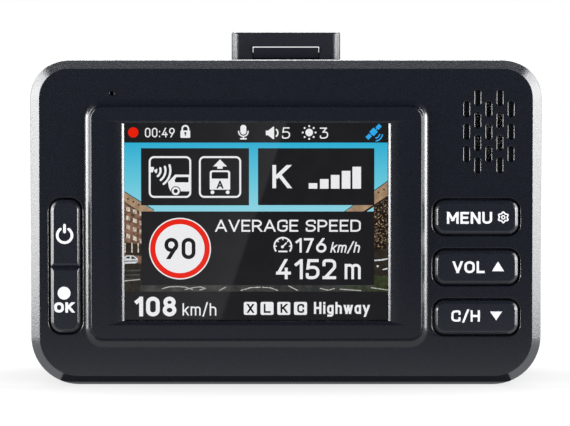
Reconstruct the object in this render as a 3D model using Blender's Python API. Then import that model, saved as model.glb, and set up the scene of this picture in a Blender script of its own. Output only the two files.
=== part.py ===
"""Combined radar detector and drive recorder with a colour screen, as its separate pieces.

Metres, +Z up. The screen and keys face -Y, the road camera faces +Y, and the case stands on z = 0.
"""

import math

import bmesh
import bpy

MM = 0.001

# Case
BODY_WIDTH = 94.6 * MM
BODY_HEIGHT = 60.2 * MM
HALF_WIDTH = BODY_WIDTH / 2
MID_Z = BODY_HEIGHT / 2
TOP_RADIUS = 7.2 * MM
BASE_RADIUS = 8.9 * MM
CHAMFER = 1.7 * MM
WALL = 2.0 * MM
GAP = 0.3 * MM  # clearance between neighbouring pieces
OVER = 1.0 * MM  # how far a cutter runs past the face that it opens
TINY = 0.01 * MM  # keeps the points of a full round apart
CORNER_STEPS = 6

# Stations along Y, from the screen to the road camera
CREST_Y = -22.0 * MM
FRAME_RISE = 1.2 * MM
FRONT_Y = CREST_Y + FRAME_RISE
PLATE_BACK_Y = FRONT_Y + WALL
SEAM_Y = -12.0 * MM
SEAM_BEVEL = 0.25 * MM
LIP_THICK = 0.9 * MM
BACK_Y = 17.0 * MM
BACK_ROUND = 4.5 * MM
BACK_INSET = 3.5 * MM
LENS_FRONT_Y = 22.0 * MM

# Raised screen frame and its window: (left, right, low, high, corner radius)
FRAME_FOOT = (-37.35 * MM, 26.5 * MM, 6.9 * MM, 53.0 * MM, 3.6 * MM)
FRAME_CREST = (-36.0 * MM, 25.1 * MM, 8.7 * MM, 51.55 * MM, 2.2 * MM)
FLANK_STEPS = 5
FLANK_END = math.radians(78)
WINDOW_CREST = (-33.7 * MM, 22.7 * MM, 11.2 * MM, 48.95 * MM)
WINDOW_LIP = (-30.4 * MM, 19.15 * MM, 11.93 * MM, 48.58 * MM)
RAMP_DEPTH = 1.4 * MM
RAMP_STEPS = 6

# Screen stack
GLASS_Y = CREST_Y + 2.0 * MM
GLASS_THICK = 1.0 * MM
GLASS_MARGIN = 1.5 * MM
LCD_THICK = 1.4 * MM
LCD_MARGIN = 1.2 * MM
BACKLIGHT_THICK = 2.8 * MM

# Keys: the left pair shares one well, the right three stand in a column
KEY_PROUD = 0.6 * MM
KEY_FILLET = 0.46 * MM
KEY_FLANGE = 1.0 * MM
FLANGE_THICK = 0.8 * MM
KEY_TRAVEL = 0.5 * MM
PLUNGER_GAP = 0.05 * MM  # left between a stem and its plunger at full travel
SWITCH_SIZE = 4.2 * MM
PLUNGER_RADIUS = 1.0 * MM
PLUNGER_LENGTH = 0.3 * MM
STEM_RADIUS = 1.2 * MM
STEM_LENGTH = 1.05 * MM
LEFT_KEY_X = -40.73 * MM
LEFT_KEY_WIDTH = 5.53 * MM
LEFT_WELL_WIDTH = 6.4 * MM
LEFT_WELL_Z = (9.35 * MM, 34.8 * MM)
LEFT_KEY_RADIUS = 2.0 * MM
LEFT_WELL_RADIUS = 2.45 * MM
LEFT_KEY_SPLIT_Z = 21.96 * MM
SPLIT_GAP = 0.36 * MM
SPLIT_RADIUS = 0.3 * MM
RIGHT_KEY_X = 35.2 * MM
RIGHT_KEY_SIZE = (15.4 * MM, 6.23 * MM)
RIGHT_WELL_SIZE = (16.3 * MM, 7.0 * MM)
RIGHT_KEY_RADIUS = 1.85 * MM
RIGHT_WELL_RADIUS = 2.25 * MM
RIGHT_KEY_TOP_Z = 31.15 * MM
RIGHT_KEY_PITCH = 9.27 * MM
RIGHT_KEYS = ("menu_button", "volume_up_button", "city_highway_button")

# Speaker slots: columns of three and four; the middle ones go right through
SPEAKER_X = 37.46 * MM
SPEAKER_Z = MID_Z + 16.88 * MM
SLOT_SIZE = (1.2 * MM, 3.2 * MM)
COLUMN_PITCH = 2.05 * MM
ROW_PITCH = 4.15 * MM
BLIND_SLOT_DEPTH = 1.2 * MM
MESH_RADIUS = 6.5 * MM
MESH_THICK = 0.25 * MM
SPEAKER_RADIUS = 7.2 * MM
MIC_X = -32.1 * MM
MIC_Z = MID_Z + 23.9 * MM
MIC_HOLE_RADIUS = 0.4 * MM
MIC_RADIUS = 2.0 * MM
MIC_LENGTH = 1.8 * MM

# Boards behind the keys and across the case
KEY_BOARD_Y = -14.0 * MM
KEY_BOARD_THICK = 1.0 * MM
KEY_BOARD_Z = (8.1 * MM, 36.0 * MM)
LEFT_BOARD_X = (-44.7 * MM, -36.6 * MM)
RIGHT_BOARD_X = (26.4 * MM, 44.6 * MM)
MAIN_BOARD_Y = -10.6 * MM
MAIN_BOARD_THICK = 1.4 * MM
MAIN_BOARD_X = (-43.6 * MM, 43.6 * MM)
MAIN_BOARD_Z = (3.6 * MM, 56.6 * MM)
BOARD_SLANT = 3.0 * MM
PART_Y = MAIN_BOARD_Y + MAIN_BOARD_THICK + GAP  # where parts on the main board begin

# Long case screws: places (x, z)
SCREW_PLACES = (
    (-41.0 * MM, 54.1 * MM),
    (26.0 * MM, 55.3 * MM),
    (-40.0 * MM, 5.1 * MM),
    (40.0 * MM, 5.1 * MM),
)
SCREW_RADIUS = 1.0 * MM
SCREW_HOLE_RADIUS = SCREW_RADIUS + GAP
HEAD_RADIUS = 1.7 * MM
HEAD_HOLE_RADIUS = HEAD_RADIUS + GAP
HEAD_SEAT_Y = 14.0 * MM
HEAD_THICK = 1.5 * MM
BOSS_RADIUS = 2.5 * MM
COVER_BOSS_RADIUS = 2.2 * MM

# Back: gloss panel, road camera, laser window
PANEL_X = (-36.0 * MM, 36.0 * MM)
PANEL_Z = (22.5 * MM, 50.5 * MM)
PANEL_RADIUS = 5.0 * MM
PANEL_PROUD = 0.5 * MM
PANEL_THICK = 1.2 * MM
CAMERA_X = -22.0 * MM
CAMERA_Z = 36.5 * MM
CAMERA_HOLE_RADIUS = 8.5 * MM
CAMERA_BOARD_SIZE = 18.0 * MM
CAMERA_BOARD_Y = (-2.0 * MM, -1.0 * MM)
BARREL_RADIUS = 6.6 * MM
BARREL_Y = (1.1 * MM, 18.6 * MM)
GLASS_SEAT_Y = 17.6 * MM
GLASS_RADIUS = 5.1 * MM
RING_RADIUS = 10.6 * MM
RING_BACK_Y = 12.0 * MM
LASER_X = 20.0 * MM
LASER_Z = 36.5 * MM
LASER_SIZE = (20.0 * MM, 10.0 * MM)

# Radar horn, on the side of the laser window and below it
HORN_X = 21.0 * MM
HORN_Z = 17.5 * MM
HORN_MOUTH = (28.0 * MM, 18.0 * MM)
HORN_THROAT = (13.0 * MM, 9.0 * MM)
HORN_WALL = 1.2 * MM
HORN_Y = (-7.2 * MM, 14.2 * MM)

# Memory card, in the left side wall
CARD_SIZE = (15.0 * MM, 1.0 * MM, 11.0 * MM)
CARD_EDGE_X = -47.0 * MM
CARD_Y = -7.7 * MM
CARD_Z = 20.5 * MM

# Power inlet, in the right side wall
INLET_Y = -7.3 * MM
INLET_Z = 34.0 * MM
INLET_SIZE = (6.4 * MM, 3.1 * MM, 7.7 * MM)

# Mounting shoe on the top
SHOE_WIDTH = 20.4 * MM
SHOE_Y = (-11.0 * MM, 11.0 * MM)
SHOE_BASE_Z = BODY_HEIGHT + GAP
SHOE_TOP_Z = 65.4 * MM
SHOE_RADIUS = 1.0 * MM
SHOE_STOP_THICK = 2.2 * MM
RAIL_FOOT_WIDTH = 16.2 * MM
RAIL_GROOVE_TOP_Z = 62.4 * MM
CHANNEL_Z = (61.6 * MM, 62.9 * MM)  # from behind the release tab to the back of the shoe
SHOE_SCREW_TIP_Z = 62.3 * MM
SHOE_SCREWS_Y = (-2.5 * MM, 7.0 * MM)
RELEASE_WIDTH = 12.2 * MM
RELEASE_TOP_Z = 62.5 * MM
RELEASE_PROUD = 0.6 * MM
RELEASE_DEPTH = 3.8 * MM
RELEASE_TRAVEL = 0.8 * MM

CASE_COLOUR = (0.020, 0.022, 0.028)
KEY_COLOUR = (0.022, 0.024, 0.031)
BOARD_COLOUR = (0.010, 0.085, 0.035)
STEEL_COLOUR = (0.55, 0.56, 0.58)
BLACK_COLOUR = (0.010, 0.010, 0.011)


def clear_scene():
    for item in list(bpy.data.objects):
        bpy.data.objects.remove(item, do_unlink=True)


def on_axis(axis, u, v, station):
    """The point at (u, v) in the plane across the axis, at a station along it."""
    if axis == "X":
        return (station, u, v)
    if axis == "Y":
        return (u, station, v)
    return (u, v, station)


def rectangle(u_range, v_range):
    left, right = u_range
    low, high = v_range
    return [(left, low), (right, low), (right, high), (left, high)]


def rounded(u_range, v_range, low_radius, high_radius=None, steps=CORNER_STEPS):
    """Outline of a rectangle whose lower and upper corners are arcs."""
    high_radius = low_radius if high_radius is None else high_radius
    left, right = u_range
    low, high = v_range
    corners = (
        (left + low_radius, low + low_radius, low_radius, 180),
        (right - low_radius, low + low_radius, low_radius, 270),
        (right - high_radius, high - high_radius, high_radius, 0),
        (left + high_radius, high - high_radius, high_radius, 90),
    )
    points = []
    for u, v, radius, start in corners:
        for step in range(steps + 1):
            angle = math.radians(start + 90 * step / steps)
            points.append((u + radius * math.cos(angle), v + radius * math.sin(angle)))
    return points


def circle(centre, radius, steps=24):
    angles = [2 * math.pi * step / steps for step in range(steps)]
    return [(centre[0] + radius * math.cos(a), centre[1] + radius * math.sin(a)) for a in angles]


def body_outline(inset=0.0):
    """The case seen from the front, drawn in from its edge."""
    return rounded(
        (inset - HALF_WIDTH, HALF_WIDTH - inset),
        (inset, BODY_HEIGHT - inset),
        BASE_RADIUS - inset,
        TOP_RADIUS - inset,
    )


def loft(name, rings, axis="Y", is_ring=False):
    """A closed solid through outlines of equal point count, each with its station on the axis.

    With is_ring the last outline joins the first, which leaves a hole through the middle.
    """
    mesh = bmesh.new()
    loops = []
    for outline, station in rings:
        loops.append([mesh.verts.new(on_axis(axis, u, v, station)) for u, v in outline])
    pairs = list(zip(loops, loops[1:]))
    if is_ring:
        pairs.append((loops[-1], loops[0]))
    else:
        mesh.faces.new(loops[0])
        mesh.faces.new(loops[-1])
    for first, second in pairs:
        for i in range(len(first)):
            j = (i + 1) % len(first)
            mesh.faces.new((first[i], first[j], second[j], second[i]))
    bmesh.ops.recalc_face_normals(mesh, faces=mesh.faces)
    data = bpy.data.meshes.new(name)
    mesh.to_mesh(data)
    mesh.free()
    solid = bpy.data.objects.new(name, data)
    bpy.context.collection.objects.link(solid)
    return solid


def prism(name, outline, stations, axis="Y"):
    return loft(name, [(outline, stations[0]), (outline, stations[1])], axis)


def block(name, x_range, y_range, z_range):
    return prism(name, rectangle(x_range, z_range), y_range)


def turned(name, centre, profile, axis="Y", is_ring=False, steps=24):
    """A turned solid: profile is a list of (radius, station on the axis)."""
    return loft(name, [(circle(centre, r, steps), s) for r, s in profile], axis, is_ring)


def span(centre, size):
    return (centre - size / 2, centre + size / 2)


def grown(limits, margin):
    return (limits[0] - margin, limits[1] + margin)


def gathered(solids):
    """One object that holds several separate solids, for cutting them out in one step."""
    mesh = bmesh.new()
    for solid in solids:
        mesh.from_mesh(solid.data)
        bpy.data.objects.remove(solid, do_unlink=True)
    data = bpy.data.meshes.new("gathered")
    mesh.to_mesh(data)
    mesh.free()
    tool = bpy.data.objects.new("gathered", data)
    bpy.context.collection.objects.link(tool)
    return tool


def combine(target, tool, operation):
    modifier = target.modifiers.new(operation, "BOOLEAN")
    modifier.operation = operation
    modifier.object = tool
    graph = bpy.context.evaluated_depsgraph_get()
    result = bpy.data.meshes.new_from_object(target.evaluated_get(graph))
    result.name = target.name
    target.modifiers.remove(modifier)
    target.data = result
    bpy.data.objects.remove(tool, do_unlink=True)


def cut(target, tool):
    combine(target, tool, "DIFFERENCE")


def join(target, tool):
    combine(target, tool, "UNION")


def finish(solid, colour, roughness, metallic=0.0):
    """Give a solid its own material and smooth its round faces."""
    material = bpy.data.materials.new(solid.name + "_finish")
    material.use_nodes = True
    shader = material.node_tree.nodes["Principled BSDF"]
    shader.inputs["Base Color"].default_value = (*colour, 1.0)
    shader.inputs["Roughness"].default_value = roughness
    shader.inputs["Metallic"].default_value = metallic
    solid.data.materials.clear()
    solid.data.materials.append(material)
    solid.data.shade_smooth()
    solid.data.set_sharp_from_angle(angle=math.radians(32))
    return solid


def set_origin(solid, point):
    """Move a solid's origin onto its joint axis and leave its shape where it is."""
    for vertex in solid.data.vertices:
        vertex.co -= type(vertex.co)(point)
    solid.location = point


def between(first, second, share):
    return tuple(a + (b - a) * share for a, b in zip(first, second))


def screen_frame():
    """The raised frame: a concave flank from the front face up to a crisp crest."""
    rings = [(rounded(FRAME_FOOT[:2], FRAME_FOOT[2:4], FRAME_FOOT[4]), FRONT_Y + WALL / 2)]
    for step in range(FLANK_STEPS + 1):
        angle = FLANK_END * step / FLANK_STEPS
        across = math.sin(angle) / math.sin(FLANK_END)
        up = (1 - math.cos(angle)) / (1 - math.cos(FLANK_END))
        left, right, low, high, radius = between(FRAME_FOOT, FRAME_CREST, across)
        rings.append((rounded((left, right), (low, high), radius), FRONT_Y - FRAME_RISE * up))
    return loft("screen_frame", rings)


def window_cutter():
    """The window: convex ramps at its left and right, steep walls above and below."""
    rings = [(rectangle(WINDOW_CREST[:2], WINDOW_CREST[2:]), CREST_Y - OVER)]
    for step in range(RAMP_STEPS + 1):
        angle = math.pi / 2 * step / RAMP_STEPS
        sideways = between(WINDOW_CREST[:2], WINDOW_LIP[:2], math.sin(angle))
        depth = 1 - math.cos(angle)
        upright = between(WINDOW_CREST[2:], WINDOW_LIP[2:], depth)
        rings.append((rectangle(sideways, upright), CREST_Y + RAMP_DEPTH * depth))
    rings.append((rectangle(WINDOW_LIP[:2], WINDOW_LIP[2:]), PLATE_BACK_Y + OVER))
    return loft("window_cutter", rings)


def slot_places():
    """Every speaker slot as (x, z, goes through): five columns, the middle ones over the speaker."""
    places = []
    for column in range(-2, 3):
        if column % 2:
            rows = (-1.5, -0.5, 0.5, 1.5)
        else:
            rows = (-1, 0, 1)
        for row in rows:
            x = SPEAKER_X + column * COLUMN_PITCH
            z = SPEAKER_Z + row * ROW_PITCH
            is_through = abs(column) < 2 and abs(row) < 1.2
            places.append((x, z, is_through))
    return places


def speaker_slot_cutters():
    width, height = SLOT_SIZE
    cutters = []
    for x, z, is_through in slot_places():
        end = PLATE_BACK_Y + OVER if is_through else FRONT_Y + BLIND_SLOT_DEPTH
        outline = rounded(span(x, width), span(z, height), width / 2 - TINY, steps=3)
        cutters.append(prism("slot_cutter", outline, (FRONT_Y - OVER, end)))
    return cutters


def right_key_z(index):
    return RIGHT_KEY_TOP_Z - index * RIGHT_KEY_PITCH


def key_well_cutters():
    through = (FRONT_Y - OVER, PLATE_BACK_Y + OVER)
    left = rounded(span(LEFT_KEY_X, LEFT_WELL_WIDTH), LEFT_WELL_Z, LEFT_WELL_RADIUS)
    cutters = [prism("well_cutter", left, through)]
    for index in range(len(RIGHT_KEYS)):
        z_range = span(right_key_z(index), RIGHT_WELL_SIZE[1])
        outline = rounded(span(RIGHT_KEY_X, RIGHT_WELL_SIZE[0]), z_range, RIGHT_WELL_RADIUS)
        cutters.append(prism("well_cutter", outline, through))
    return cutters


def add_cover_bosses(cover):
    for place in SCREW_PLACES:
        stations = (PLATE_BACK_Y - WALL / 2, SEAM_Y - 3 * GAP)
        join(cover, turned("boss", place, [(COVER_BOSS_RADIUS, s) for s in stations], steps=16))
        stations = (PLATE_BACK_Y, SEAM_Y)
        cut(cover, turned("pilot", place, [(SCREW_HOLE_RADIUS, s) for s in stations], steps=16))


def front_cover():
    cover = loft(
        "front_cover",
        [
            (body_outline(CHAMFER), FRONT_Y),
            (body_outline(), FRONT_Y + CHAMFER),
            (body_outline(), SEAM_Y - SEAM_BEVEL),
            (body_outline(SEAM_BEVEL), SEAM_Y),
        ],
    )
    join(cover, screen_frame())
    cut(cover, prism("cavity", body_outline(WALL), (PLATE_BACK_Y, SEAM_Y + OVER)))
    add_cover_bosses(cover)
    cut(cover, window_cutter())
    x_range = grown(WINDOW_LIP[:2], GLASS_MARGIN + GAP)
    z_range = grown(WINDOW_LIP[2:], GLASS_MARGIN + GAP)
    cut(cover, block("glass_pocket", x_range, (GLASS_Y - GAP, PLATE_BACK_Y + OVER), z_range))
    hole = [(MIC_HOLE_RADIUS, FRONT_Y - OVER), (MIC_HOLE_RADIUS, PLATE_BACK_Y + OVER)]
    mic_hole = turned("mic_hole", (MIC_X, MIC_Z), hole, steps=12)
    cut(cover, gathered([*key_well_cutters(), *speaker_slot_cutters(), mic_hole]))
    return finish(cover, CASE_COLOUR, 0.45)


def screen_stack():
    """Cover glass, display cell, backlight tray and the flat cable that folds back to the board."""
    x_range = grown(WINDOW_LIP[:2], GLASS_MARGIN)
    z_range = grown(WINDOW_LIP[2:], GLASS_MARGIN)
    glass = block("display_glass", x_range, (GLASS_Y, GLASS_Y + GLASS_THICK), z_range)
    finish(glass, (0.02, 0.02, 0.022), 0.05)

    lcd_y = GLASS_Y + GLASS_THICK + GAP
    x_range = grown(WINDOW_LIP[:2], LCD_MARGIN)
    z_range = grown(WINDOW_LIP[2:], LCD_MARGIN)
    lcd = block("lcd_panel", x_range, (lcd_y, lcd_y + LCD_THICK), z_range)
    finish(lcd, (0.05, 0.12, 0.16), 0.2)

    tray_y = lcd_y + LCD_THICK + GAP
    tray = loft(
        "lcd_backlight",
        [
            (rounded(x_range, z_range, 0.8 * MM, steps=2), tray_y),
            (rounded(x_range, z_range, 0.8 * MM, steps=2), tray_y + BACKLIGHT_THICK),
        ],
    )
    finish(tray, (0.7, 0.7, 0.68), 0.4)
    flat_cable(lcd_y + LCD_THICK / 2, z_range[0])


def flat_cable(start_y, screen_low_z):
    """A thin strip that leaves the display cell's lower edge and runs back to the main board."""
    thick = 0.3 * MM
    drop = screen_low_z - 2.2 * MM
    end_y = MAIN_BOARD_Y - GAP
    front = start_y
    profile = [
        (front, screen_low_z - GAP),
        (front, drop + 0.8 * MM),
        (front + 0.8 * MM, drop),
        (end_y, drop),
        (end_y, drop + thick),
        (front + 0.9 * MM, drop + thick),
        (front + thick, drop + 0.9 * MM),
        (front + thick, screen_low_z - GAP),
    ]
    strip = prism("display_cable", profile, (-16.0 * MM, 2.0 * MM), axis="X")
    finish(strip, (0.35, 0.16, 0.03), 0.45)


def key(name, x_range, z_range, radii, flange_z):
    """A key cap with a filleted face, a flange behind the front plate and a stem to its switch."""
    face_y = FRONT_Y - KEY_PROUD
    flange_y = PLATE_BACK_Y + GAP
    rings = []
    for step in range(3):
        angle = math.pi / 2 * step / 2
        inset = KEY_FILLET * (1 - math.sin(angle))
        station = face_y + KEY_FILLET * (1 - math.cos(angle))
        corner = [max(radius - inset, SPLIT_RADIUS / 2) for radius in radii]
        rings.append((rounded(grown(x_range, -inset), grown(z_range, -inset), *corner), station))
    rings.append((rounded(x_range, z_range, *radii), flange_y + FLANGE_THICK / 2))
    cap = loft(name, rings)
    outline = rounded(grown(x_range, KEY_FLANGE), flange_z, *radii)
    join(cap, prism("flange", outline, (flange_y, flange_y + FLANGE_THICK)))
    middle = (sum(x_range) / 2, sum(z_range) / 2)
    stem_y = flange_y + FLANGE_THICK
    stem = [(STEM_RADIUS, stem_y - FLANGE_THICK / 2), (STEM_RADIUS, stem_y + STEM_LENGTH)]
    join(cap, turned("stem", middle, stem, steps=16))
    finish(cap, KEY_COLOUR, 0.42)
    set_origin(cap, (middle[0], face_y, middle[1]))
    switch(name.replace("_button", "_switch"), middle, stem_y + STEM_LENGTH)


def switch(name, place, stem_end_y):
    """A tactile switch: a square body on the key board and a round plunger facing the stem."""
    plunger_y = stem_end_y + KEY_TRAVEL + PLUNGER_GAP
    back_y = KEY_BOARD_Y - GAP
    x_range = span(place[0], SWITCH_SIZE)
    z_range = span(place[1], SWITCH_SIZE)
    body = block(name, x_range, (plunger_y + PLUNGER_LENGTH, back_y), z_range)
    plunger = [(PLUNGER_RADIUS, plunger_y), (PLUNGER_RADIUS, back_y - GAP)]
    join(body, turned("plunger", place, plunger, steps=16))
    finish(body, BLACK_COLOUR, 0.5)


def left_keys():
    x_range = span(LEFT_KEY_X, LEFT_KEY_WIDTH)
    margin = 0.43 * MM
    low = (LEFT_WELL_Z[0] + margin, LEFT_KEY_SPLIT_Z - SPLIT_GAP / 2)
    high = (LEFT_KEY_SPLIT_Z + SPLIT_GAP / 2, LEFT_WELL_Z[1] - margin)
    upper_flange = (high[0] + SPLIT_GAP / 2, high[1] + KEY_FLANGE)
    key("power_button", x_range, high, (SPLIT_RADIUS, LEFT_KEY_RADIUS), upper_flange)
    lower_flange = (low[0] - KEY_FLANGE, low[1] - SPLIT_GAP / 2)
    key("ok_button", x_range, low, (LEFT_KEY_RADIUS, SPLIT_RADIUS), lower_flange)


def right_keys():
    x_range = span(RIGHT_KEY_X, RIGHT_KEY_SIZE[0])
    for index, name in enumerate(RIGHT_KEYS):
        z_range = span(right_key_z(index), RIGHT_KEY_SIZE[1])
        radii = (RIGHT_KEY_RADIUS, RIGHT_KEY_RADIUS)
        key(name, x_range, z_range, radii, grown(z_range, KEY_FLANGE))


def key_boards():
    y_range = (KEY_BOARD_Y, KEY_BOARD_Y + KEY_BOARD_THICK)
    finish(block("left_key_board", LEFT_BOARD_X, y_range, KEY_BOARD_Z), BOARD_COLOUR, 0.4)
    finish(block("right_key_board", RIGHT_BOARD_X, y_range, KEY_BOARD_Z), BOARD_COLOUR, 0.4)


def speaker_parts():
    place = (SPEAKER_X, SPEAKER_Z)
    mesh_y = PLATE_BACK_Y + GAP
    mesh_end = mesh_y + MESH_THICK
    mesh = turned("speaker_mesh", place, [(MESH_RADIUS, mesh_y), (MESH_RADIUS, mesh_end)], steps=32)
    finish(mesh, STEEL_COLOUR, 0.35, 1.0)

    rim_y = mesh_end + GAP
    profile = [
        (1.6 * MM, rim_y + 1.1 * MM),
        (5.4 * MM, rim_y + 0.3 * MM),
        (6.2 * MM, rim_y),
        (SPEAKER_RADIUS, rim_y),
        (SPEAKER_RADIUS, rim_y + 1.0 * MM),
        (5.0 * MM, rim_y + 2.2 * MM),
        (5.0 * MM, rim_y + 4.2 * MM),
    ]
    finish(turned("speaker", place, profile), BLACK_COLOUR, 0.5)

    mic_y = PLATE_BACK_Y + GAP
    capsule = [(MIC_RADIUS, mic_y), (MIC_RADIUS, mic_y + MIC_LENGTH)]
    finish(turned("microphone", (MIC_X, MIC_Z), capsule, steps=20), STEEL_COLOUR, 0.3, 1.0)


def main_board():
    """The board across the case, notched round the four screw bosses."""
    left, right = MAIN_BOARD_X
    low, high = MAIN_BOARD_Z
    reach = BOSS_RADIUS + 2 * GAP
    (x1, z1), (x2, z2), (x3, z3), (x4, z4) = SCREW_PLACES
    outline = [
        (x3 + reach, low),
        (x4 - reach, low),
        (x4 - reach, z4 + reach),
        (right, z4 + reach),
        (right, high - BOARD_SLANT),
        (right - BOARD_SLANT, high),
        (x2 + reach, high),
        (x2 + reach, z2 - reach),
        (x2 - reach, z2 - reach),
        (x2 - reach, high),
        (x1 + reach, high),
        (x1 + reach, z1 - reach),
        (left, z1 - reach),
        (left, z3 + reach),
        (x3 + reach, z3 + reach),
    ]
    board = prism("main_board", outline, (MAIN_BOARD_Y, MAIN_BOARD_Y + MAIN_BOARD_THICK))
    finish(board, BOARD_COLOUR, 0.4)


def board_parts():
    """What the main board carries: processor shield and heat sink, battery, GPS antenna."""
    x_range = (-9.0 * MM, 9.0 * MM)
    z_range = (29.0 * MM, 47.0 * MM)
    shield_back = PART_Y + 2.0 * MM
    shield = loft(
        "processor_shield",
        [
            (rectangle(x_range, z_range), PART_Y),
            (rectangle(x_range, z_range), shield_back - 0.3 * MM),
            (rectangle(grown(x_range, -0.3 * MM), grown(z_range, -0.3 * MM)), shield_back),
        ],
    )
    finish(shield, STEEL_COLOUR, 0.3, 1.0)
    heat_sink(shield_back + GAP)

    battery_y = (PART_Y, PART_Y + 5.0 * MM)
    outline = rounded((-27.0 * MM, -3.0 * MM), (8.5 * MM, 23.5 * MM), 1.2 * MM, steps=3)
    finish(prism("backup_battery", outline, battery_y), (0.25, 0.28, 0.32), 0.35)

    base = rectangle((-35.0 * MM, -17.0 * MM), (-6.0 * MM, 12.0 * MM))
    patch = rectangle((-33.0 * MM, -19.0 * MM), (-4.0 * MM, 10.0 * MM))
    low_z = 53.0 * MM
    top_z = 57.0 * MM
    rings = [(base, low_z), (base, top_z), (patch, top_z), (patch, top_z + 0.3 * MM)]
    finish(loft("gps_antenna", rings, axis="Z"), (0.55, 0.50, 0.40), 0.5)


def heat_sink(start_y):
    """Fins along Z on a flat base, drawn as one comb-shaped outline."""
    base_y = start_y + 1.2 * MM
    tip_y = start_y + 5.0 * MM
    fins = 6
    pitch = 2.8 * MM
    fin = 1.0 * MM
    left = -(fins - 1) * pitch / 2 - fin / 2
    outline = [(left, start_y)]
    for index in range(fins):
        x = left + index * pitch
        outline = [*outline, (x, tip_y), (x + fin, tip_y)]
        if index < fins - 1:
            outline = [*outline, (x + fin, base_y), (x + pitch, base_y)]
    outline.append((-left, start_y))
    sink = prism("heat_sink", outline, (30.0 * MM, 46.0 * MM), axis="Z")
    finish(sink, (0.05, 0.05, 0.055), 0.35, 0.6)


def horn_outline(size, wall=0.0):
    return rectangle(span(HORN_X, size[0] - 2 * wall), span(HORN_Z, size[1] - 2 * wall))


def radar_parts():
    """The horn antenna, open towards the road, and the mixer board behind its throat."""
    start, end = HORN_Y
    flare_y = start + 6.0 * MM
    horn = loft(
        "radar_horn",
        [
            (horn_outline(HORN_THROAT), start),
            (horn_outline(HORN_THROAT), flare_y),
            (horn_outline(HORN_MOUTH), end),
        ],
    )
    inside = loft(
        "horn_inside",
        [
            (horn_outline(HORN_THROAT, HORN_WALL), start + HORN_WALL),
            (horn_outline(HORN_THROAT, HORN_WALL), flare_y),
            (horn_outline(HORN_MOUTH, HORN_WALL), end),
            (horn_outline(HORN_MOUTH, HORN_WALL), end + OVER),
        ],
    )
    cut(horn, inside)
    finish(horn, (0.62, 0.62, 0.63), 0.4, 1.0)
    board_x = span(HORN_X, 26.0 * MM)
    board_z = span(HORN_Z, 16.0 * MM)
    finish(block("radar_board", board_x, (PART_Y, PART_Y + 1.0 * MM), board_z), BOARD_COLOUR, 0.4)


def laser_parts():
    width, height = LASER_SIZE
    outline = rounded(
        span(LASER_X, width - 2 * GAP), span(LASER_Z, height - 2 * GAP), 2.0 * MM, steps=4
    )
    front = BACK_Y + PANEL_PROUD
    window = prism("laser_window", outline, (front - 3.0 * MM, front))
    finish(window, (0.09, 0.004, 0.006), 0.08)

    sensor_y = (7.0 * MM, 11.0 * MM)
    sensor = block("laser_sensor", span(LASER_X, 12.0 * MM), sensor_y, span(LASER_Z, 8.0 * MM))
    dome = [(3.4 * MM, 10.5 * MM), (3.2 * MM, 12.0 * MM), (1.8 * MM, 12.8 * MM)]
    join(sensor, turned("dome", (LASER_X, LASER_Z), dome, steps=16))
    finish(sensor, BLACK_COLOUR, 0.35)


def camera_parts():
    """Sensor board, lens holder, lens barrel, front lens and the trim ring round it."""
    place = (CAMERA_X, CAMERA_Z)
    side = span(CAMERA_X, CAMERA_BOARD_SIZE)
    upright = span(CAMERA_Z, CAMERA_BOARD_SIZE)
    finish(block("camera_board", side, CAMERA_BOARD_Y, upright), BOARD_COLOUR, 0.4)

    bore = BARREL_RADIUS + GAP
    holder_y = (CAMERA_BOARD_Y[1] + GAP, 6.0 * MM)
    holder = block("lens_holder", grown(side, -1.0 * MM), holder_y, grown(upright, -1.0 * MM))
    bored = [(bore, BARREL_Y[0] - GAP), (bore, holder_y[1] + OVER)]
    cut(holder, turned("holder_bore", place, bored))
    finish(holder, BLACK_COLOUR, 0.5)

    start, end = BARREL_Y
    seat = GLASS_RADIUS + GAP
    profile = [
        (BARREL_RADIUS, start),
        (BARREL_RADIUS, end - 0.8 * MM),
        (BARREL_RADIUS - 0.4 * MM, end),
        (seat, end),
        (seat, GLASS_SEAT_Y),
    ]
    finish(turned("lens_barrel", place, profile, steps=32), BLACK_COLOUR, 0.35)

    dome = [(GLASS_RADIUS, GLASS_SEAT_Y + GAP)]
    dome_y = end - 0.1 * MM
    for step in range(4):
        angle = math.pi / 2 * step / 4
        dome.append((GLASS_RADIUS * math.cos(angle), dome_y + 1.5 * MM * math.sin(angle)))
    finish(turned("lens_glass", place, dome), (0.01, 0.012, 0.02), 0.03)

    flange_y = BACK_Y + PANEL_PROUD + GAP
    ring = [
        (CAMERA_HOLE_RADIUS - GAP, RING_BACK_Y),
        (CAMERA_HOLE_RADIUS - GAP, flange_y),
        (RING_RADIUS, flange_y),
        (RING_RADIUS, LENS_FRONT_Y - 1.0 * MM),
        (RING_RADIUS - 1.0 * MM, LENS_FRONT_Y),
        (RING_RADIUS - 1.7 * MM, LENS_FRONT_Y),
        (bore, 19.2 * MM),
        (bore, RING_BACK_Y),
    ]
    finish(turned("lens_trim_ring", place, ring, is_ring=True, steps=32), STEEL_COLOUR, 0.3, 1.0)


def rear_panel():
    """The gloss panel let into the back, with holes for the lens and the laser window."""
    front = BACK_Y + PANEL_PROUD
    edge = 0.4 * MM
    panel = loft(
        "rear_panel",
        [
            (rounded(PANEL_X, PANEL_Z, PANEL_RADIUS), front - PANEL_THICK),
            (rounded(PANEL_X, PANEL_Z, PANEL_RADIUS), front - edge),
            (rounded(grown(PANEL_X, -edge), grown(PANEL_Z, -edge), PANEL_RADIUS - edge), front),
        ],
    )
    cut_back_openings(panel)
    return finish(panel, BLACK_COLOUR, 0.08)


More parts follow.
